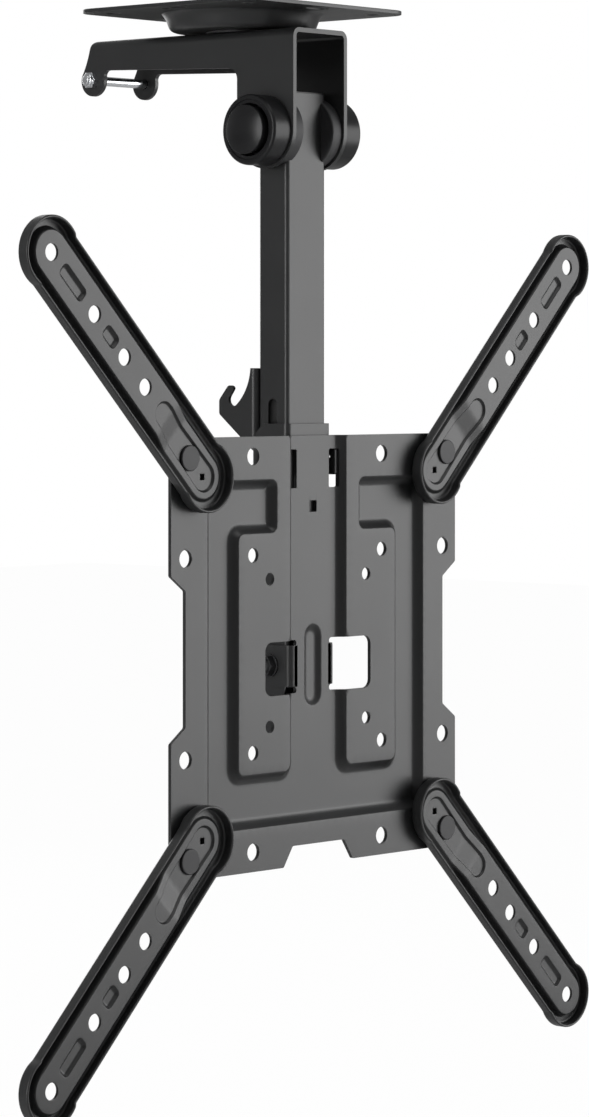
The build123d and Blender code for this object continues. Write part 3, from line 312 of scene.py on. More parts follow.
def new_piece(name, points, faces):
    """Object at the origin whose mesh has these points, given in millimetres."""
    mesh = bpy.data.meshes.new(name)
    mesh.from_pydata([tuple(MM * value for value in point) for point in points], [], faces)
    mesh.validate()
    piece = bpy.data.objects.new(name, mesh)
    scene.collection.objects.link(piece)
    return piece


def settle(piece):
    """Replaces a piece's mesh and modifiers by the plain mesh that they make."""
    graph = bpy.context.evaluated_depsgraph_get()
    mesh = bpy.data.meshes.new_from_object(piece.evaluated_get(graph))
    piece.modifiers.clear()
    piece.data = mesh
    return piece


def break_edges(piece, width, angle=38.0):
    """Rounds every edge that turns by more than an angle."""
    bevel = piece.modifiers.new("edges", "BEVEL")
    bevel.width = width * MM
    bevel.segments = 2
    bevel.limit_method = "ANGLE"
    bevel.angle_limit = radians(angle)
    bevel.use_clamp_overlap = True
    return settle(piece)


def shade(piece, angle=32.0):
    """Smooth shading with sharp corners, its flats kept flat beside their rounded edges."""
    piece.data.shade_smooth()
    piece.data.set_sharp_from_angle(angle=radians(angle))
    weigh = piece.modifiers.new("normals", "WEIGHTED_NORMAL")
    weigh.keep_sharp = True
    return settle(piece)


def finish_piece(piece, slot, body, *stands_for):
    """Coats a piece, lets it ride on its body and hides the frame nodes that it stands for."""
    piece.data.materials.clear()
    piece.data.materials.append(COATS[slot])
    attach(piece, body)
    if stands_for:
        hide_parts(*stands_for)
    return piece


def clean_copy(node):
    """Copy of a frame node with its doubled points merged and its flats made one face each."""
    flat = radians(0.6)
    work = bmesh.new()
    work.from_mesh(nodes[node].data)
    bmesh.ops.remove_doubles(work, verts=work.verts, dist=SAME_POINT)
    bmesh.ops.dissolve_limit(work, angle_limit=flat, verts=work.verts, edges=work.edges)
    mesh = bpy.data.meshes.new(node + "_eased")
    work.to_mesh(mesh)
    work.free()
    for name in ("custom_normal", "sharp_edge", "sharp_face"):
        if name in mesh.attributes:
            mesh.attributes.remove(mesh.attributes[name])
    piece = bpy.data.objects.new(node + "_eased", mesh)
    scene.collection.objects.link(piece)
    return piece


def eased_copy(node, width):
    """Clean copy of a frame node with its edges broken."""
    return shade(break_edges(clean_copy(node), width))


# Flat loops, in millimetres

def arc(centre, radius, start, end, step=9.0):
    """Points of an arc from one angle to another, in degrees."""
    count = max(2, ceil(abs(end - start) / step))
    angles = np.radians(np.linspace(start, end, count + 1))
    return np.column_stack((centre[0] + radius * np.cos(angles), centre[1] + radius * np.sin(angles)))


def circle(centre, radius, count=40):
    return arc(centre, radius, 0, 360, 360 / count)[:-1]


def corner_arc(before, here, after, radius, step):
    """Points of the arc that rounds a corner, one about every step degrees."""
    back = before - here
    ahead = after - here
    back /= np.linalg.norm(back)
    ahead /= np.linalg.norm(ahead)
    half = np.arccos(np.clip(back @ ahead, -1, 1)) / 2
    middle = back + ahead
    centre = here + middle / np.linalg.norm(middle) * radius / sin(half)
    first = here + back * radius / tan(half) - centre
    last = here + ahead * radius / tan(half) - centre
    turn = np.arctan2(first[0] * last[1] - first[1] * last[0], first @ last)
    count = max(2, ceil(abs(turn) / radians(step)))
    angles = np.arctan2(first[1], first[0]) + turn * np.linspace(0, 1, count + 1)
    return centre + radius * np.column_stack((np.cos(angles), np.sin(angles)))


def rounded(corners, step=2.4):
    """Closed loop through (x, y, radius) corners, with points at most step apart."""
    points = np.array([corner[:2] for corner in corners], float)
    found = []
    for index, here in enumerate(points):
        radius = corners[index][2]
        if radius <= 0:
            found.append(here[None])
            continue
        after = points[(index + 1) % len(points)]
        found.append(corner_arc(points[index - 1], here, after, radius, 12))
    return spaced(np.vstack(found), step)


def rounded_box(low_x, low_y, high_x, high_y, corner, step=2.4):
    """Closed loop of a rectangle with one radius at its four corners."""
    return rounded([
        (low_x, low_y, corner), (high_x, low_y, corner),
        (high_x, high_y, corner), (low_x, high_y, corner)], step)


def round_off(corners, radii, step=15):
    """Profile through corners whose turns are rounded by the radii given for them."""
    points = []
    for index, (corner, radius) in enumerate(zip(corners, radii)):
        if radius <= 0 or index in (0, len(corners) - 1):
            points.append(tuple(map(float, corner)))
            continue
        before, here, after = np.array(corners[index - 1:index + 2], float)
        points += map(tuple, corner_arc(before, here, after, radius, step).tolist())
    return points


def spaced(loop, step):
    """The same closed loop with its long runs divided."""
    found = []
    for start, end in zip(loop, np.roll(loop, -1, axis=0)):
        count = max(1, ceil(np.linalg.norm(end - start) / step))
        found.append(start + (end - start) * (np.arange(count) / count)[:, None])
    return np.vstack(found)


def mirrored(loop):
    return (np.asarray(loop) * (-1, 1))[::-1]


def moved_out(loop, distance):
    """Every point of a closed loop moved along the outward normal there."""
    ahead = np.roll(loop, -1, axis=0) - loop
    ahead /= np.linalg.norm(ahead, axis=1)[:, None]
    behind = np.roll(ahead, 1, axis=0)
    tangent = ahead + behind
    tangent /= np.linalg.norm(tangent, axis=1)[:, None]
    normal = np.column_stack((tangent[:, 1], -tangent[:, 0]))
    x, y = loop.T
    area = np.sum(x * np.roll(y, -1) - np.roll(x, -1) * y)
    stretch = 1 / np.clip(np.sum(ahead * tangent, axis=1), 0.5, 1)
    return loop + normal * (distance * np.sign(area) * stretch)[:, None]


def gap_to(points, loop):
    """Distance of points from a closed loop, negative inside it."""
    tiny = 1e-12
    best = np.full(len(points), np.inf)
    inside = np.zeros(len(points), bool)
    for start, end in zip(loop, np.roll(loop, -1, axis=0)):
        run = end - start
        length = run @ run
        if length < tiny:
            continue
        share = np.clip((points - start) @ run / length, 0, 1)
        apart = points - start - share[:, None] * run
        best = np.minimum(best, np.einsum("ij,ij->i", apart, apart))
        crosses = (start[1] > points[:, 1]) != (end[1] > points[:, 1])
        if crosses.any():
            x = start[0] + (points[:, 1] - start[1]) / (run[1] or tiny) * run[0]
            inside ^= crosses & (points[:, 0] < x)
    return np.where(inside, -1, 1) * np.sqrt(best)


def slope(inward, run, edge, foot):
    """Share of a pressing's depth at a distance inward from its edge; edge and foot are rounded."""
    shoulder = np.clip(inward + edge, 0, 2 * edge) ** 2 / (4 * edge)
    straight = np.clip(inward - edge, 0, run - edge - foot)
    bottom = np.clip(inward - run + foot, 0, 2 * foot)
    return (shoulder + straight + bottom - bottom ** 2 / (4 * foot)) / run


class Pressing:
    """A feature pressed into a sheet: its loop, its depth, which may vary over it, and its slope."""

    def __init__(self, loop, depth, run, edge, foot):
        self.loop = loop
        self.depth = depth
        self.run = run
        self.edge = edge
        self.foot = foot

    def depth_at(self, points):
        depth = self.depth(points) if callable(self.depth) else self.depth
        return depth * slope(-gap_to(points, self.loop), self.run, self.edge, self.foot)

    def rings(self, count=11, stray=0.12):
        """Loops of points along the slope, so that the mesh follows it."""
        for inward in np.linspace(-self.edge, self.run + self.foot, count):
            ring = moved_out(self.loop, -inward)
            kept = np.abs(-gap_to(ring, self.loop) - inward) < stray
            yield ring[kept]


def sheet_points(outline, holes, pressings, spacing, clear):
    """Points inside a sheet: those of its pressings' slopes and an even grid between them."""
    margin = 1
    low = outline.min(0)
    high = outline.max(0)
    xs = np.arange(low[0] + spacing / 2, high[0], spacing)
    ys = np.arange(low[1] + spacing / 2, high[1], spacing)
    grid = np.array([(x, y) for x in xs for y in ys])
    for pressing in pressings:
        inward = -gap_to(grid, pressing.loop)
        grid = grid[(inward < -pressing.edge - margin) | (inward > pressing.run + pressing.foot + margin)]
    free = np.vstack([grid] + [ring for pressing in pressings for ring in pressing.rings()])
    keep = gap_to(free, outline) < -clear
    for hole in holes:
        keep &= gap_to(free, hole) > clear
    return free[keep]


def sheet_faces(outline, holes, free):
    """Triangles that fill an outline but not its holes, with their points."""
    same = 1e-5
    loops = [outline, *holes]
    edges = []
    start = 0
    for loop in loops:
        count = len(loop)
        edges += [(start + index, start + (index + 1) % count) for index in range(count)]
        start += count
    points = np.vstack(loops + [free])
    found = delaunay_2d_cdt([Vector(point) for point in points], edges, [], 0, same)
    points = np.array([tuple(point) for point in found[0]])
    faces = np.array([face for face in found[2] if len(face) == 3])
    middle = points[faces].mean(axis=1)
    keep = gap_to(middle, outline) < 0
    for hole in holes:
        keep &= gap_to(middle, hole) > 0
    faces = faces[keep]
    a, b, c = points[faces[:, 0]], points[faces[:, 1]], points[faces[:, 2]]
    turn = (b - a)[:, 0] * (c - a)[:, 1] - (b - a)[:, 1] * (c - a)[:, 0]
    faces[turn < 0] = faces[turn < 0][:, ::-1]
    return points, faces


def open_edges(faces):
    """Edges that only one face has, in that face's direction."""
    seen = {}
    for face in faces:
        for start, end in zip(face, np.roll(face, -1)):
            key = (int(start), int(end))
            if key[::-1] in seen:
                del seen[key[::-1]]
            else:
                seen[key] = True
    return list(seen)


def two_skins(faces, count):
    """Faces of a sheet's front, then the same for its back, whose points come count later."""
    shell = [tuple(map(int, face)) for face in faces]
    return shell + [tuple(int(value) + count for value in face[::-1]) for face in faces]


def edge_walls(edges, count):
    """Faces that join the front to the back along the sheet's open edges."""
    return [(end, start, start + count, end + count) for start, end in edges]


def depth_and_slope(points, pressings):
    """Depth of a pressed sheet at points, and how steep it is there."""
    def depth(at):
        return sum((pressing.depth_at(at) for pressing in pressings), np.zeros(len(at)))

    step = 0.02
    here = depth(points)
    dx = (depth(points + (step, 0)) - here) / step
    dy = (depth(points + (0, step)) - here) / step
    return here, np.sqrt(1 + dx ** 2 + dy ** 2)


def pressed_sheet(name, outline, holes, pressings, thickness, place, spacing=6.5, clear=0.9):
    """Closed sheet of one thickness; place turns (x, y, depth) arrays into points of the frame."""
    free = sheet_points(outline, holes, pressings, spacing, clear)
    points, faces = sheet_faces(outline, holes, free)
    depth, steep = depth_and_slope(points, pressings)
    front = place(points[:, 0], points[:, 1], depth)
    back = place(points[:, 0], points[:, 1], depth + thickness * steep)
    count = len(points)
    shell = two_skins(faces, count) + edge_walls(open_edges(faces), count)
    return new_piece(name, np.vstack((front, back)), shell)


def joined(name, pieces):
    """One object from several."""
    work = bmesh.new()
    for piece in pieces:
        work.from_mesh(piece.data)
        bpy.data.objects.remove(piece)
    mesh = bpy.data.meshes.new(name)
    work.to_mesh(mesh)
    work.free()
    whole = bpy.data.objects.new(name, mesh)
    scene.collection.objects.link(whole)
    return whole


def outward_faces(piece):
    """Turns a closed piece's faces outwards."""
    work = bmesh.new()
    work.from_mesh(piece.data)
    bmesh.ops.remove_doubles(work, verts=work.verts, dist=SAME_POINT)
    bmesh.ops.recalc_face_normals(work, faces=work.faces)
    work.to_mesh(piece.data)
    work.free()
    return piece


# Screen plate

def on_plate(x, z, depth):
    """Place on the screen plate, measured from its centre and back from its front face."""
    return np.column_stack((x, FACE_Y + depth, CENTRE_Z + z))


def plate_outline():
    """Square plate with one notch in its lower edge and one in each upright edge."""
    low_z, low_in, low_out = -99.5, 20.0, 27.0
    side_x, side_in, side_out = 100.0, 34.0, 41.5
    wide, high, corner, ease = PLATE_HALF_X, PLATE_HALF_Z, 10.0, 1.5
    right = [
        (low_in, low_z, ease), (low_out, -high, ease), (wide, -high, corner), (wide, -side_out, ease),
        (side_x, -side_in, ease), (side_x, side_in, ease), (wide, side_out, ease), (wide, high, corner)]
    left = [(-x, z, radius) for x, z, radius in reversed(right)]
    return rounded(right + left)


def recess_loop():
    """Edge of the area pressed back round the two raised panels; it runs out at the top."""
    beyond = 130.0
    spine, panel, neck, wide, high, ease = 21.7, 61.0, 32.0, 83.7, 88.0, 4.0
    corners = [
        (-spine, -panel, ease), (-spine, beyond, 0.0), (spine, beyond, 0.0), (spine, -panel, ease),
        (panel, -panel, ease), (panel, panel, ease), (neck, panel, ease), (neck, high, ease),
        (wide, high, ease), (wide, -high, ease), (-wide, -high, ease), (-wide, high, ease),
        (-neck, high, ease), (-neck, panel, ease), (-panel, panel, ease), (-panel, -panel, ease)]
    return rounded(corners, step=1.8)


def lower_window():
    """Window from which the right tilt ear was bent, with a relief notch at each end of the bend."""
    inner, outer, corner, relief = 14.3, 41.0, 4.5, 1.6
    below, above = 13.8, 13.5
    low = -TILT_DOWN - below
    high = -TILT_DOWN + above
    return spaced(np.vstack((
        arc((outer - corner, low + corner), corner, -90, 0),
        arc((outer - corner, high - corner), corner, 0, 90),
        arc((inner, high - relief), relief, 90, 270, 22.5),
        arc((inner, low + relief), relief, 90, 270, 22.5))), 2.4)


def upper_window():
    """Window from which the right guard ear was bent."""
    inner, outer, low, high = 12.5, 19.3, 83.0, 103.0
    return rounded_box(inner, low, outer, high, corner=1.0)


def plate_holes():
    """Round holes as (x, z, radius), mirrored to all four corners, then the windows."""
    rounds = [
        (37.5, 37.5, 3.3), (50.0, 50.0, 3.8), (100.0, 50.0, 4.5), (50.0, 100.0, 4.5),
        (100.0, 100.0, RIVET_SHANK_R)]
    loops = [circle((sx * x, sz * z), radius)
             for x, z, radius in rounds for sx in (-1, 1) for sz in (-1, 1)]
    half = 3.0
    key = 73.6
    loops.append(rounded_box(-half, key - half, half, key + half, corner=0.8, step=1.0))
    for window in (lower_window(), upper_window()):
        loops += [window, mirrored(window)]
    return loops


def capsule(half, near, far, step=2.4, turn=9.0):
    """Stadium along x whose round ends are centred at near and far."""
    return spaced(np.vstack((
        arc((far, 0), half, -90, 90, turn), arc((near, 0), half, 90, 270, turn))), step)


def bent_ear(name, side, root, outline, holes):
    """Ear that starts flat on the floor of the plate and turns back round a bend."""
    quarter = pi / 2 * EAR_BEND
    spacing, clear, inset = 3.0, 0.8, 1.2

    def place(run, z, depth):
        angle = np.clip((run - EAR_FLAT) / EAR_BEND, 0, pi / 2)
        past = np.clip(run - EAR_FLAT - quarter, 0, None)
        flat = np.clip(run - EAR_FLAT, None, 0)
        radius = EAR_BEND - depth
        x = root + flat + radius * np.sin(angle)
        y = EAR_BEND - radius * np.cos(angle) + past
        return on_plate(side * x, z, RECESS_DEPTH + y)

    low, high = outline.min(0), outline.max(0)
    fold = np.array([(x, z) for x in EAR_FLAT + quarter * np.linspace(0, 1, 7)
                     for z in np.linspace(low[1] + inset, high[1] - inset, 9)])
    free = np.vstack((sheet_points(outline, holes, [], spacing, clear), fold))
    keep = gap_to(free, outline) < -clear
    points, faces = sheet_faces(outline, holes, free[keep])
    count = len(points)
    front = place(points[:, 0], points[:, 1], np.zeros(count))
    back = place(points[:, 0], points[:, 1], np.full(count, SHEET))
    shell = two_skins(faces, count) + edge_walls(open_edges(faces), count)
    return outward_faces(new_piece(name, np.vstack((front, back)), shell))


def tilt_ears():
    """Two ears that hold the tilt bolt, each with a round end."""
    foot, bore = 0.6, 3.2
    root = POLE_HALF + EAR_GAP + SHEET - EAR_BEND
    reach = EAR_FLAT + pi / 2 * EAR_BEND + (TILT[1] - FACE_Y) - RECESS_DEPTH - EAR_BEND
    z = -TILT_DOWN
    outline = spaced(np.vstack((
        [(foot, z - EAR_ROUND)], arc((reach, z), EAR_ROUND, -90, 90), [(foot, z + EAR_ROUND)])), 2.0)
    hole = circle((reach, z), bore, 28)
    return [bent_ear("ear", side, root, outline, [hole]) for side in (-1, 1)]


def guard_ears():
    """Two small ears beside the latch, at the upper windows."""
    made = []
    root, deep, low, high = 4.0, 12.4, 89.5, 103.0
    outline = rounded([(root, low, 1.0), (deep, low, 1.5), (deep, high, 1.5), (root, high, 1.0)], 1.5)
    hole_at, hole_r = (8.5, 98.7), 1.1
    hole = circle(hole_at, hole_r, 20)
    outer = LATCH_HALF + EAR_GAP + SHEET
    for side in (-1, 1):
        def place(y, z, depth, side=side):
            return on_plate(side * (outer - depth), z, y)

        made.append(outward_faces(pressed_sheet("guard", outline, [hole], [], SHEET, place, 3.0, 0.7)))
    return made


def screen_plate():
    """Plate with its recess, the upright bead over the tilt bolt, its holes and its four ears."""
    recess = Pressing(recess_loop(), RECESS_DEPTH, PRESS_RUN, PRESS_EDGE, PRESS_FOOT)
    half, reach = 6.5, 14.5
    bead_loop = capsule(half, -reach, reach, 1.8)[:, ::-1] * (-1, 1)
    bead = Pressing(bead_loop + (0, -TILT_DOWN), depth=1.9, run=3.0, edge=0.6, foot=1.4)
    sheet = pressed_sheet(
        "sheet", plate_outline(), plate_holes(), [recess, bead], SHEET, on_plate)
    outward_faces(sheet)
    whole = joined("screen_plate_pressed", [sheet, *tilt_ears(), *guard_ears()])
    shade(break_edges(whole, EDGE_ROUND, angle=FOLD_TURN))
    return finish_piece(whole, "powder_coat", "screen_plate", "vesa_plate")


# Arms

def arm_frame():
    """Centre-line point, outward normal and distance to a cap for each station round the arm."""
    fine, step, turn_step = 8, 3.0, 6
    length = ARM_FAR - ARM_NEAR
    sides = np.concatenate((
        np.linspace(0, fine, 9)[:-1], np.arange(fine, length - fine, step),
        np.linspace(length - fine, length, 9)))
    right = ARM_NEAR + sides
    turn = np.radians(np.arange(turn_step, 180, turn_step))
    centres = [(x, 0) for x in right] + [(ARM_FAR, 0)] * len(turn)
    normals = [(0, -1)] * len(right) + [(sin(angle), -cos(angle)) for angle in turn]
    centres += [(x, 0) for x in right[::-1]] + [(ARM_NEAR, 0)] * len(turn)
    normals += [(0, 1)] * len(right) + [(-sin(angle), cos(angle)) for angle in turn]
    centres = np.array(centres, float)
    along = np.minimum(np.abs(centres[:, 0] - ARM_NEAR), np.abs(centres[:, 0] - ARM_FAR))
    return centres, np.array(normals, float), along


def arm_loop(inset):
    """Loop inside the arm's outline; the caps are a little wider than the straight part."""
    centres, normals, along = arm_frame()
    cap = np.sqrt(np.clip(ARM_CAP_R ** 2 - along ** 2, 0, None))
    half = np.maximum(ARM_HALF, cap) - inset
    return centres + normals * half[:, None]


def arm_rim():
    """Height of the rim at each station: a little taller round the caps."""
    reach, blend = 6.5, 2.5
    along = arm_frame()[2]
    share = np.clip((reach - along) / blend, 0, 1)
    return ARM_RIM + (ARM_CAP_RIM - ARM_RIM) * share * share * (3 - 2 * share)


def arm_wall_rings():
    """(inset, height) round the rolled rim, from the foot of the inner wall out and down to the back."""
    rim = arm_rim()
    half = ARM_SHEET / 2
    for angle in np.radians(np.linspace(0, 90, 5)):
        yield ARM_SHEET + ARM_FLOOR_R * (1 - sin(angle)), ARM_SHEET + ARM_FLOOR_R * (1 - cos(angle))
    for angle in np.radians(np.linspace(0, 180, 9)):
        yield half + half * cos(angle), rim - half + half * sin(angle)
    for angle in np.radians(np.linspace(0, 90, 5)):
        yield ARM_OUTER_R * (1 - cos(angle)), ARM_OUTER_R * (1 - sin(angle))


def island_rise(points):
    """Height of the island over the floor: low about the rivet, then up a short ramp."""
    share = slope(points[:, 0] - RAMP_START, RAMP_END - RAMP_START, edge=1.5, foot=1.5)
    return ISLAND_LOW + (ISLAND_HIGH - ISLAND_LOW) * share


def dish_loop():
    """Dish in the island about the rivet: two round ends and straight flanks."""
    near_r, far_r, far_x = 7.7, 6.4, 31.1
    lean = asin((far_r - near_r) / (far_x - ARM_NEAR)) * 180 / pi
    tip = 90 - lean
    return spaced(np.vstack((
        arc((far_x, 0), far_r, -tip - 2 * lean, tip + 2 * lean),
        arc((ARM_NEAR, 0), near_r, 180 - tip, 180 + tip))), 1.6)


def arm_pressings():
    """The raised island, the dish in it and the two short beads."""
    outline = capsule(ISLAND_HALF, ARM_NEAR, ARM_FAR, 2.0, 8.0)
    island = Pressing(outline, island_rise, run=1.4, edge=0.5, foot=0.5)
    dish = Pressing(dish_loop(), -DISH_DEPTH, run=0.8, edge=0.25, foot=0.4)
    found = [island, dish]
    half, spread = 3.8, 0.3
    for centre, length in ARM_BEADS:
        reach = length / 2 + spread
        loop = rounded_box(centre - reach, -half, centre + reach, half, corner=2.6, step=1.2)
        found.append(Pressing(loop, -BEAD_DEPTH, run=1.4, edge=0.3, foot=0.8))
    return found


def arm_holes():
    """The screw holes, the rivet's hole and the small square one, set on its corner."""
    loops = [circle((x, 0), ARM_HOLE_R) for x in (*ARM_HOLES, ARM_FAR)]
    loops.append(circle((0, 0), RIVET_HOLE_R, 32))
    side, ease = 3.2, 0.25
    half = side / sqrt(2)
    loops.append(rounded([
        (ARM_NEAR - half, 0, ease), (ARM_NEAR, -half, ease),
        (ARM_NEAR + half, 0, ease), (ARM_NEAR, half, ease)], 0.8))
    return loops


def ramp_points(pressings):
    """Points across the island's ramp, off the slopes of the other pressings."""
    past, half, near = 1.5, 9.5, 3
    middle, band = 0.45, 1.1
    grid = np.array([(x, y) for x in np.linspace(RAMP_START - past, RAMP_END + past, 11)
                     for y in np.linspace(-half, half, 9)])
    crossing = [pressing for pressing in pressings if np.abs(gap_to(grid, pressing.loop)).min() < near]
    for pressing in crossing:
        grid = grid[np.abs(gap_to(grid, pressing.loop) + middle) > band]
    return grid


def arm_shell():
    """Points (x, y, height) and faces of one arm, its back at height 0."""
    inset = ARM_SHEET + ARM_FLOOR_R
    edge = arm_loop(inset)
    holes = arm_holes()
    pressings = arm_pressings()
    free = sheet_points(edge, holes, pressings, spacing=5.0, clear=0.55)
    points, faces = sheet_faces(edge, holes, np.vstack((free, ramp_points(pressings[1:]))))
    rise, steep = depth_and_slope(points, pressings)
    front = np.column_stack((points, ARM_SHEET + rise))
    back = np.column_stack((points, np.maximum(ARM_SHEET + rise - ARM_SHEET * steep, 0)))
    count = len(points)
    border = len(edge)
    inner = [(start, end) for start, end in open_edges(faces) if start >= border or end >= border]
    shell = two_skins(faces, count) + edge_walls(inner, count)
    rings = [np.column_stack((arm_loop(inset_at), np.broadcast_to(height, border)))
             for inset_at, height in list(arm_wall_rings())[1:-1]]
    first = 2 * count
    starts = [0] + [first + index * border for index in range(len(rings))] + [count]
    for low, high in zip(starts, starts[1:]):
        for index in range(border):
            after = (index + 1) % border
            shell.append((low + index, high + index, high + after, low + after))
    return np.vstack((front, back, *rings)), shell


def arms():
    """The arm's shell, turned and set on each of its four rivets."""
    points, shell = arm_shell()
    back_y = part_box("arm_top_left")[1].y / MM
    for name, turn in ARM_TURNS.items():
        pivot = np.array(joints[name + "_swing"]["pos_m"]) / MM
        angle = radians(turn)
        x = pivot[0] + points[:, 0] * cos(angle) - points[:, 1] * sin(angle)
        z = pivot[2] + points[:, 0] * sin(angle) + points[:, 1] * cos(angle)
        placed = np.column_stack((x, back_y - points[:, 2], z))
        piece = outward_faces(new_piece(name + "_pressed", placed, shell))
        shade(break_edges(piece, width=0.3, angle=55.0))
        finish_piece(piece, "powder_coat", name, name)


# Turned pieces

def turned(name, profile, centre, axis, count=96):
    """Solid of revolution from (along, radius) points, along one axis of the frame.

    The profile is a closed loop, or starts and ends on the axis.
    """
    angles = np.linspace(0, 2 * pi, count, endpoint=False)
    along = "xyz".index(axis[-1])
    sign = -1 if axis.startswith("-") else 1
    points = []
    for length, radius in profile:
        ring = np.zeros((count, 3))
        ring[:, along] = sign * length
        ring[:, (along + 1) % 3] = radius * np.cos(angles)
        ring[:, (along + 2) % 3] = radius * np.sin(angles)
        points.append(ring + centre)
    faces = []
    for index in range(len(profile) - 1):
        for step in range(count):
            after = (step + 1) % count
            low = index * count
            high = low + count
            faces.append((low + step, low + after, high + after, high + step))
    return outward_faces(new_piece(name, np.vstack(points), faces))


def pivot_covers():
    """Round covers over the fold bolt's ends, each with a domed cap that stands proud of its rim."""
    base, wall, bore = 1.5, 2.8, 5.0
    ledge, shelf = 0.7, 1.9
    proud, crown, lip, skin, play = 2.9, 2.6, 2.2, 1.2, 1.3
    for name, axis in (("left", "-x"), ("right", "x")):
        low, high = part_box("pivot_cover_" + name)
        ear = abs(high.x if axis == "-x" else low.x) / MM
        radius = (high.z - low.z) / 2 / MM
        length = (high.x - low.x) / MM
        centre = (ear if axis == "x" else -ear, FOLD[1], FOLD[2])
        mouth = radius - wall
        cup = round_off(
            [(base, bore), (0, bore), (0, radius), (length, radius), (length, mouth),
             (length - ledge, mouth), (length - ledge, mouth - shelf), (base, mouth - shelf), (base, bore)],
            [0, 0, 0.5, 1.6, 0.35, 0.2, 0.3, 0, 0])
        cover = turned("pivot_cover_%s_moulded" % name, cup, centre, axis)
        finish_piece(shade(cover), "black_plastic", "bracket", "pivot_cover_" + name)
        low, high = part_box("pivot_cap_" + name)
        outer = (high.z - low.z) / 2 / MM
        stem = outer - play
        edge = length + proud
        dome = [(edge + crown * (1 - share ** 2), outer * share) for share in np.linspace(0, 1, 17)]
        sides = round_off(
            [dome[-2], dome[-1], (edge - lip, outer), (edge - lip, stem), (base, stem),
             (base, stem - skin), (edge - skin, stem - skin), (edge - skin + crown, 0.0)],
            [0, 0.4, 0.3, 0, 0, 0, 0, 0])
        cap = turned("pivot_cap_%s_moulded" % name, dome[:-2] + sides, centre, axis)
        finish_piece(shade(cap), "black_plastic", "bracket", "pivot_cap_" + name)


# Repeated pieces, by Geometry Nodes

class Repeat(NodeWork):
    """Geometry Nodes tree that sets copies of a mesh on points and gives them one material."""

    def __init__(self, name, copies, coat, sizes):
        self.group = bpy.data.node_groups.new(name, "GeometryNodeTree")
        super().__init__(self.group)
        face = self.group.interface
        face.new_socket("Geometry", in_out="INPUT", socket_type="NodeSocketGeometry")
        self.keys = {}
        for label, value in sizes.items():
            socket = face.new_socket(label, in_out="INPUT", socket_type="NodeSocketFloat")
            socket.default_value = value
            self.keys[label] = socket.identifier
        face.new_socket("Geometry", in_out="OUTPUT", socket_type="NodeSocketGeometry")
        entry = self.tree.nodes.new("NodeGroupInput")
        self.points = Value(self, entry.outputs["Geometry"])
        self.sizes = {label: Value(self, entry.outputs[label]) for label in sizes}
        self.copies = self.add("GeometryNodeObjectInfo", {}, {"Object": copies}, output="Geometry")
        self.coat = coat

    def close(self, geometry):
        real = self.add("GeometryNodeRealizeInstances", {}, {0: geometry})
        coated = self.add("GeometryNodeSetMaterial", {}, {"Geometry": real, "Material": self.coat})
        leave = self.tree.nodes.new("NodeGroupOutput")
        self.feed(leave.inputs["Geometry"], coated)
        return self.group


def set_out(name, pattern, points, coat, scale=1.0):
    """Copies of a pattern piece at points, as one plain mesh."""
    tree = Repeat(name + "_layout", pattern, coat, {"Size": scale})
    placed = tree.add("GeometryNodeInstanceOnPoints", {}, {
        "Points": tree.points, "Instance": tree.copies, "Scale": tree.sizes["Size"]})
    carrier = new_piece(name, points, [])
    layout = carrier.modifiers.new("layout", "NODES")
    layout.node_group = tree.close(placed)
    layout[tree.keys["Size"]] = scale
    settle(carrier)
    bpy.data.objects.remove(pattern)
    return carrier


def rivets():
    """Four rivets with flat heads in front and upset ends behind."""
    low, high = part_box("arm_rivets")
    front = low.y / MM
    length = high.y / MM - front
    head, upset, wide_r, end_r = 1.2, 1.8, 5.5, 5.0
    profile = round_off(
        [(0.0, 0.0), (0.0, RIVET_HEAD_R), (head, RIVET_HEAD_R), (head, RIVET_SHANK_R),
         (length - upset, RIVET_SHANK_R), (length - upset, wide_r), (length, end_r), (length, 0.0)],
        [0, 0.6, 0.15, 0, 0, 0.2, 0.8, 0])
    pattern = turned("rivet_pattern", profile, (0, 0, 0), "y", 56)
    shade(pattern)
    pivots = [joints[name + "_swing"]["pos_m"] for name in ARM_TURNS]
    points = [(x / MM, front, z / MM) for x, y, z in pivots]
    piece = set_out("arm_rivets_headed", pattern, points, COATS["black_steel"])
    finish_piece(shade(piece), "black_steel", "screen_plate", "arm_rivets")


# Ceiling plate

def ceiling_plate():
    """Square plate with a round dish pressed down in its middle for the swivel."""
    low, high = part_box("ceiling_plate")
    half = (high.x - low.x) / 2 / MM
    deep = (high.z - low.z) / MM - SHEET
    corner = 12.0
    corners = [(half, -half, corner), (half, half, corner), (-half, half, corner), (-half, -half, corner)]
    hole_at, hole_r, slot_at, slot_half, slot_reach, bolt_r = 48.0, 3.5, 52.0, 3.0, 4.5, 5.2
    holes = [circle((sx * hole_at, sy * hole_at), hole_r, 32) for sx in (-1, 1) for sy in (-1, 1)]
    slot = capsule(slot_half, -slot_reach, slot_reach, 1.5, 15)
    holes += [slot + (0, side * slot_at) for side in (-1, 1)]
    upright = slot[:, ::-1] * (-1, 1)
    holes += [upright + (side * slot_at, 0) for side in (-1, 1)]
    holes.append(circle((0, 0), bolt_r, 32))
    dish_r = 40.9
    dish = Pressing(circle((0, 0), dish_r, 144), deep, run=4.6, edge=2.0, foot=2.0)

    def place(x, y, depth):
        return np.column_stack((x, -y, -depth))

    sheet = pressed_sheet("ceiling_plate_pressed", rounded(corners), holes, [dish], SHEET, place)
    outward_faces(sheet)
    shade(break_edges(sheet, EDGE_ROUND, angle=FOLD_TURN))
    finish_piece(sheet, "powder_coat", "ceiling_base", "ceiling_plate")


# Folded sheets, tubes and fittings that keep the frame's own form

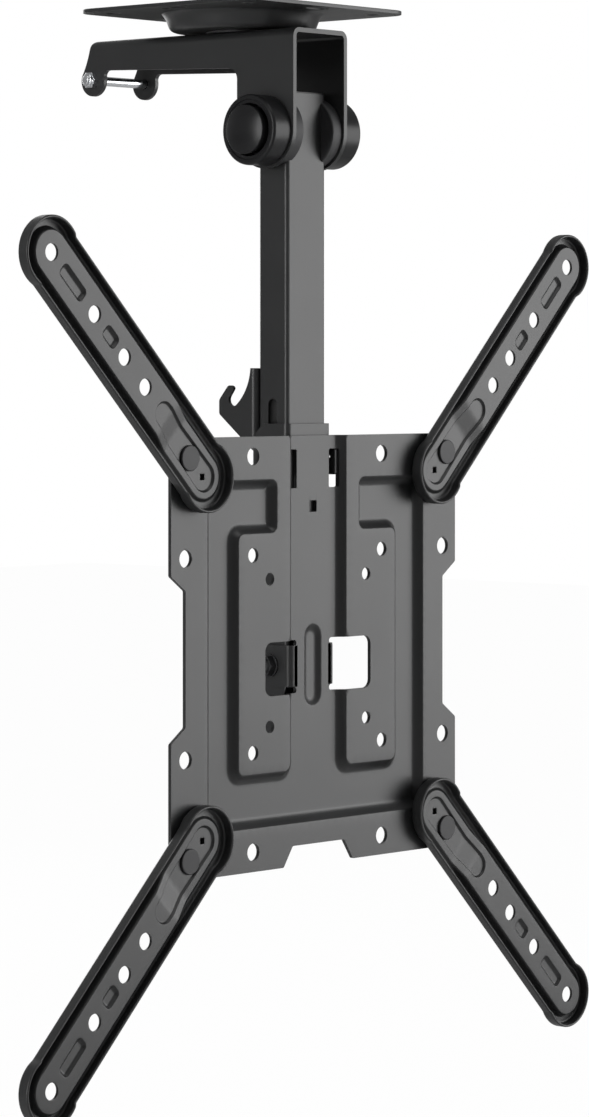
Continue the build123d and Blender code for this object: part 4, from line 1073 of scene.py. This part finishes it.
# Material, body and width of the broken edges
EASED = {
    "fold_bracket": ("powder_coat", "bracket", 0.45),
    "latch_sleeve": ("powder_coat", "latch", 0.3),
    "latch_pin": ("black_steel", "latch", 0.2),
    "latch_bolt": ("zinc_plate", "bracket", 0.2),
    "latch_nut": ("zinc_plate", "bracket", 0.2),
    "tilt_bolt": ("zinc_plate", "screen_plate", 0.2),
    # The tilt nut and its washers get the dark black_steel coat in place of zinc; their darkness is painted shade
    # for the shadow they sit in behind the plate.
    "tilt_nut": ("black_steel", "screen_plate", 0.2),
    "tilt_washers": ("black_steel", "screen_plate", 0.2),
    "swivel_bolt": ("zinc_plate", "ceiling_base", 0.25),
    "swivel_nut": ("zinc_plate", "ceiling_base", 0.25),
    "swivel_head_washer": ("zinc_plate", "ceiling_base", 0.2),
    "swivel_lower_washer": ("zinc_plate", "ceiling_base", 0.2),
    "swivel_glide_washer": ("friction_plastic", "ceiling_base", 0.15),
    "pivot_friction_washers": ("friction_plastic", "pole", 0.3),
    "pole_plug": ("black_plastic", "pole", 0.2),
    "arm_washers": ("black_plastic", "screen_plate", 0.15),
}


def slot_cutter(low, high, half):
    """Round-ended bar across the pole that cuts the pin's slot in both sides."""
    reach = POLE_HALF + 2
    upper = arc((FOLD[1], high - half), half, 0, 180, 12)
    lower = arc((FOLD[1], low + half), half, 180, 360, 12)
    loop = spaced(np.vstack((upper, lower)), 40.0)
    count = len(loop)
    points = [(x, y, z) for x in (-reach, reach) for y, z in loop]
    faces = [tuple(range(count)), tuple(range(count, 2 * count))[::-1]]
    faces += [(i, i + count, (i + 1) % count + count, (i + 1) % count) for i in range(count)]
    return outward_faces(new_piece("slot_cutter", points, faces))


def pole():
    """The pole, its slots as long as they show above the sleeve."""
    tube = clean_copy("pole_tube")
    low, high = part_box("latch_pin")
    pin = (low.z + high.z) / 2 / MM
    travel = joints["latch_slide"]["range_m"][1] / MM
    cutter = slot_cutter(pin, pin + travel + SLOT_HALF + SLOT_ABOVE, SLOT_HALF)
    cut = tube.modifiers.new("slot", "BOOLEAN")
    cut.operation = "DIFFERENCE"
    cut.solver = "EXACT"
    cut.object = cutter
    settle(tube)
    bpy.data.objects.remove(cutter)
    finish_piece(shade(break_edges(tube, EDGE_ROUND)), "powder_coat", "pole", "pole_tube")


def latch_hooks():
    """The two hooks, with the corners of their claws rounded."""
    shortest, level, sharp = 1.5, 0.02, radians(25)
    hooks = clean_copy("latch_hooks")
    work = bmesh.new()
    work.from_mesh(hooks.data)
    claws = []
    for edge in work.edges:
        run = (edge.verts[1].co - edge.verts[0].co) / MM
        across = abs(run.x) > shortest and abs(run.y) + abs(run.z) < level
        behind = edge.verts[0].co.y / MM > FOLD[1] + CLAW_BEHIND
        if across and behind and len(edge.link_faces) == 2 and edge.calc_face_angle_signed() > sharp:
            claws.append(edge)
    bmesh.ops.bevel(work, geom=claws, offset=CLAW_ROUND * MM, segments=4, profile=0.5,
                    affect="EDGES", clamp_overlap=True)
    work.to_mesh(hooks.data)
    work.free()
    finish_piece(shade(break_edges(hooks, EDGE_ROUND)), "powder_coat", "latch", "latch_hooks")


def eased_pieces():
    """Folded sheets and fasteners in their own form, with their edges broken."""
    for node, (slot, body, width) in EASED.items():
        finish_piece(eased_copy(node, width), slot, body, node)


def coat_hidden_nodes():
    """Frame nodes inside other pieces keep their form and get their own finish."""
    slots = {row["node"]: row["material_slot"] for row in frame["record"]["subparts"]}
    for name, node in nodes.items():
        if not node.hide_render:
            node.data.materials.clear()
            node.data.materials.append(COATS[slots[name]])


# Studio

def white_world():
    """White for the camera, a quarter as bright in reflections, and faint light for all the rest."""
    world = bpy.data.worlds.new("studio")
    world.use_nodes = True
    scene.world = world
    work = NodeWork(world.node_tree)
    seen = work.add("ShaderNodeLightPath", output="Is Camera Ray")
    path = seen.socket.node
    shown = seen.over(Value(work, path.outputs["Is Transmission Ray"]))
    mirror = Value(work, path.outputs["Is Glossy Ray"])
    strength = AMBIENT + (1 - AMBIENT) * shown.over(MIRRORED_WORLD * mirror)
    backdrop = world.node_tree.nodes["Background"]
    backdrop.inputs["Color"].default_value = (1, 1, 1, 1)
    work.feed(backdrop.inputs["Strength"], strength)


def floor():
    """Wide white floor well below the mount; the camera sees it near white with a faint shadow."""
    z = cad_box[0].z - FLOOR_DROP
    half = FLOOR_HALF
    mesh = bpy.data.meshes.new("floor")
    mesh.from_pydata(
        [(-half, -half, z), (half, -half, z), (half, half, z), (-half, half, z)], [], [(0, 1, 2, 3)])
    plane = bpy.data.objects.new("floor", mesh)
    scene.collection.objects.link(plane)
    material = bpy.data.materials.new("floor_white")
    material.use_nodes = True
    work = NodeWork(material.node_tree)
    paint = material.node_tree.nodes["Principled BSDF"]
    paint.inputs["Base Color"].default_value = (FLOOR_WHITE, FLOOR_WHITE, FLOOR_WHITE, 1)
    paint.inputs["Roughness"].default_value = 0.9
    seen = work.add("ShaderNodeLightPath", output="Is Camera Ray")
    glow = work.add("ShaderNodeEmission", {}, {"Color": (1, 1, 1, 1), "Strength": 1.0})
    mixed = work.add("ShaderNodeMixShader", {}, {
        0: FLOOR_GLOW * seen, 1: Value(work, paint.outputs[0]), 2: glow})
    work.feed(material.node_tree.nodes["Material Output"].inputs["Surface"], mixed)
    mesh.materials.append(material)


def softbox(name, at, size, watts, aim):
    """Rectangular light, size in metres, that faces a point."""
    data = bpy.data.lights.new(name, "AREA")
    data.shape = "RECTANGLE"
    data.size, data.size_y = size
    data.energy = watts
    lamp = bpy.data.objects.new(name, data)
    lamp.location = at
    lamp.rotation_mode = "QUATERNION"
    lamp.rotation_quaternion = (Vector(aim) - Vector(at)).to_track_quat("-Z", "Y")
    scene.collection.objects.link(lamp)


def studio():
    white_world()
    floor()
    for name, (at, size, watts) in LIGHTS.items():
        softbox(name, at, size, watts, STUDIO_MIDDLE)


def camera():
    """Level camera at the photograph's place; its shift sets the horizon's row."""
    data = bpy.data.cameras.new("camera")
    data.sensor_width = SENSOR
    data.lens = SENSOR * FOCAL_PIXELS / PHOTO_HEIGHT
    data.shift_y = (HORIZON_ROW - PHOTO_HEIGHT / 2) / PHOTO_HEIGHT
    view = bpy.data.objects.new("camera", data)
    view.location = CAMERA_AT
    view.rotation_euler = (pi / 2, 0, -radians(CAMERA_TURN))
    scene.collection.objects.link(view)
    scene.camera = view


camera()
screen_plate()
arms()
rivets()
ceiling_plate()
pivot_covers()
pole()
latch_hooks()
eased_pieces()
coat_hidden_nodes()
studio()
scene.view_settings.view_transform = "Standard"
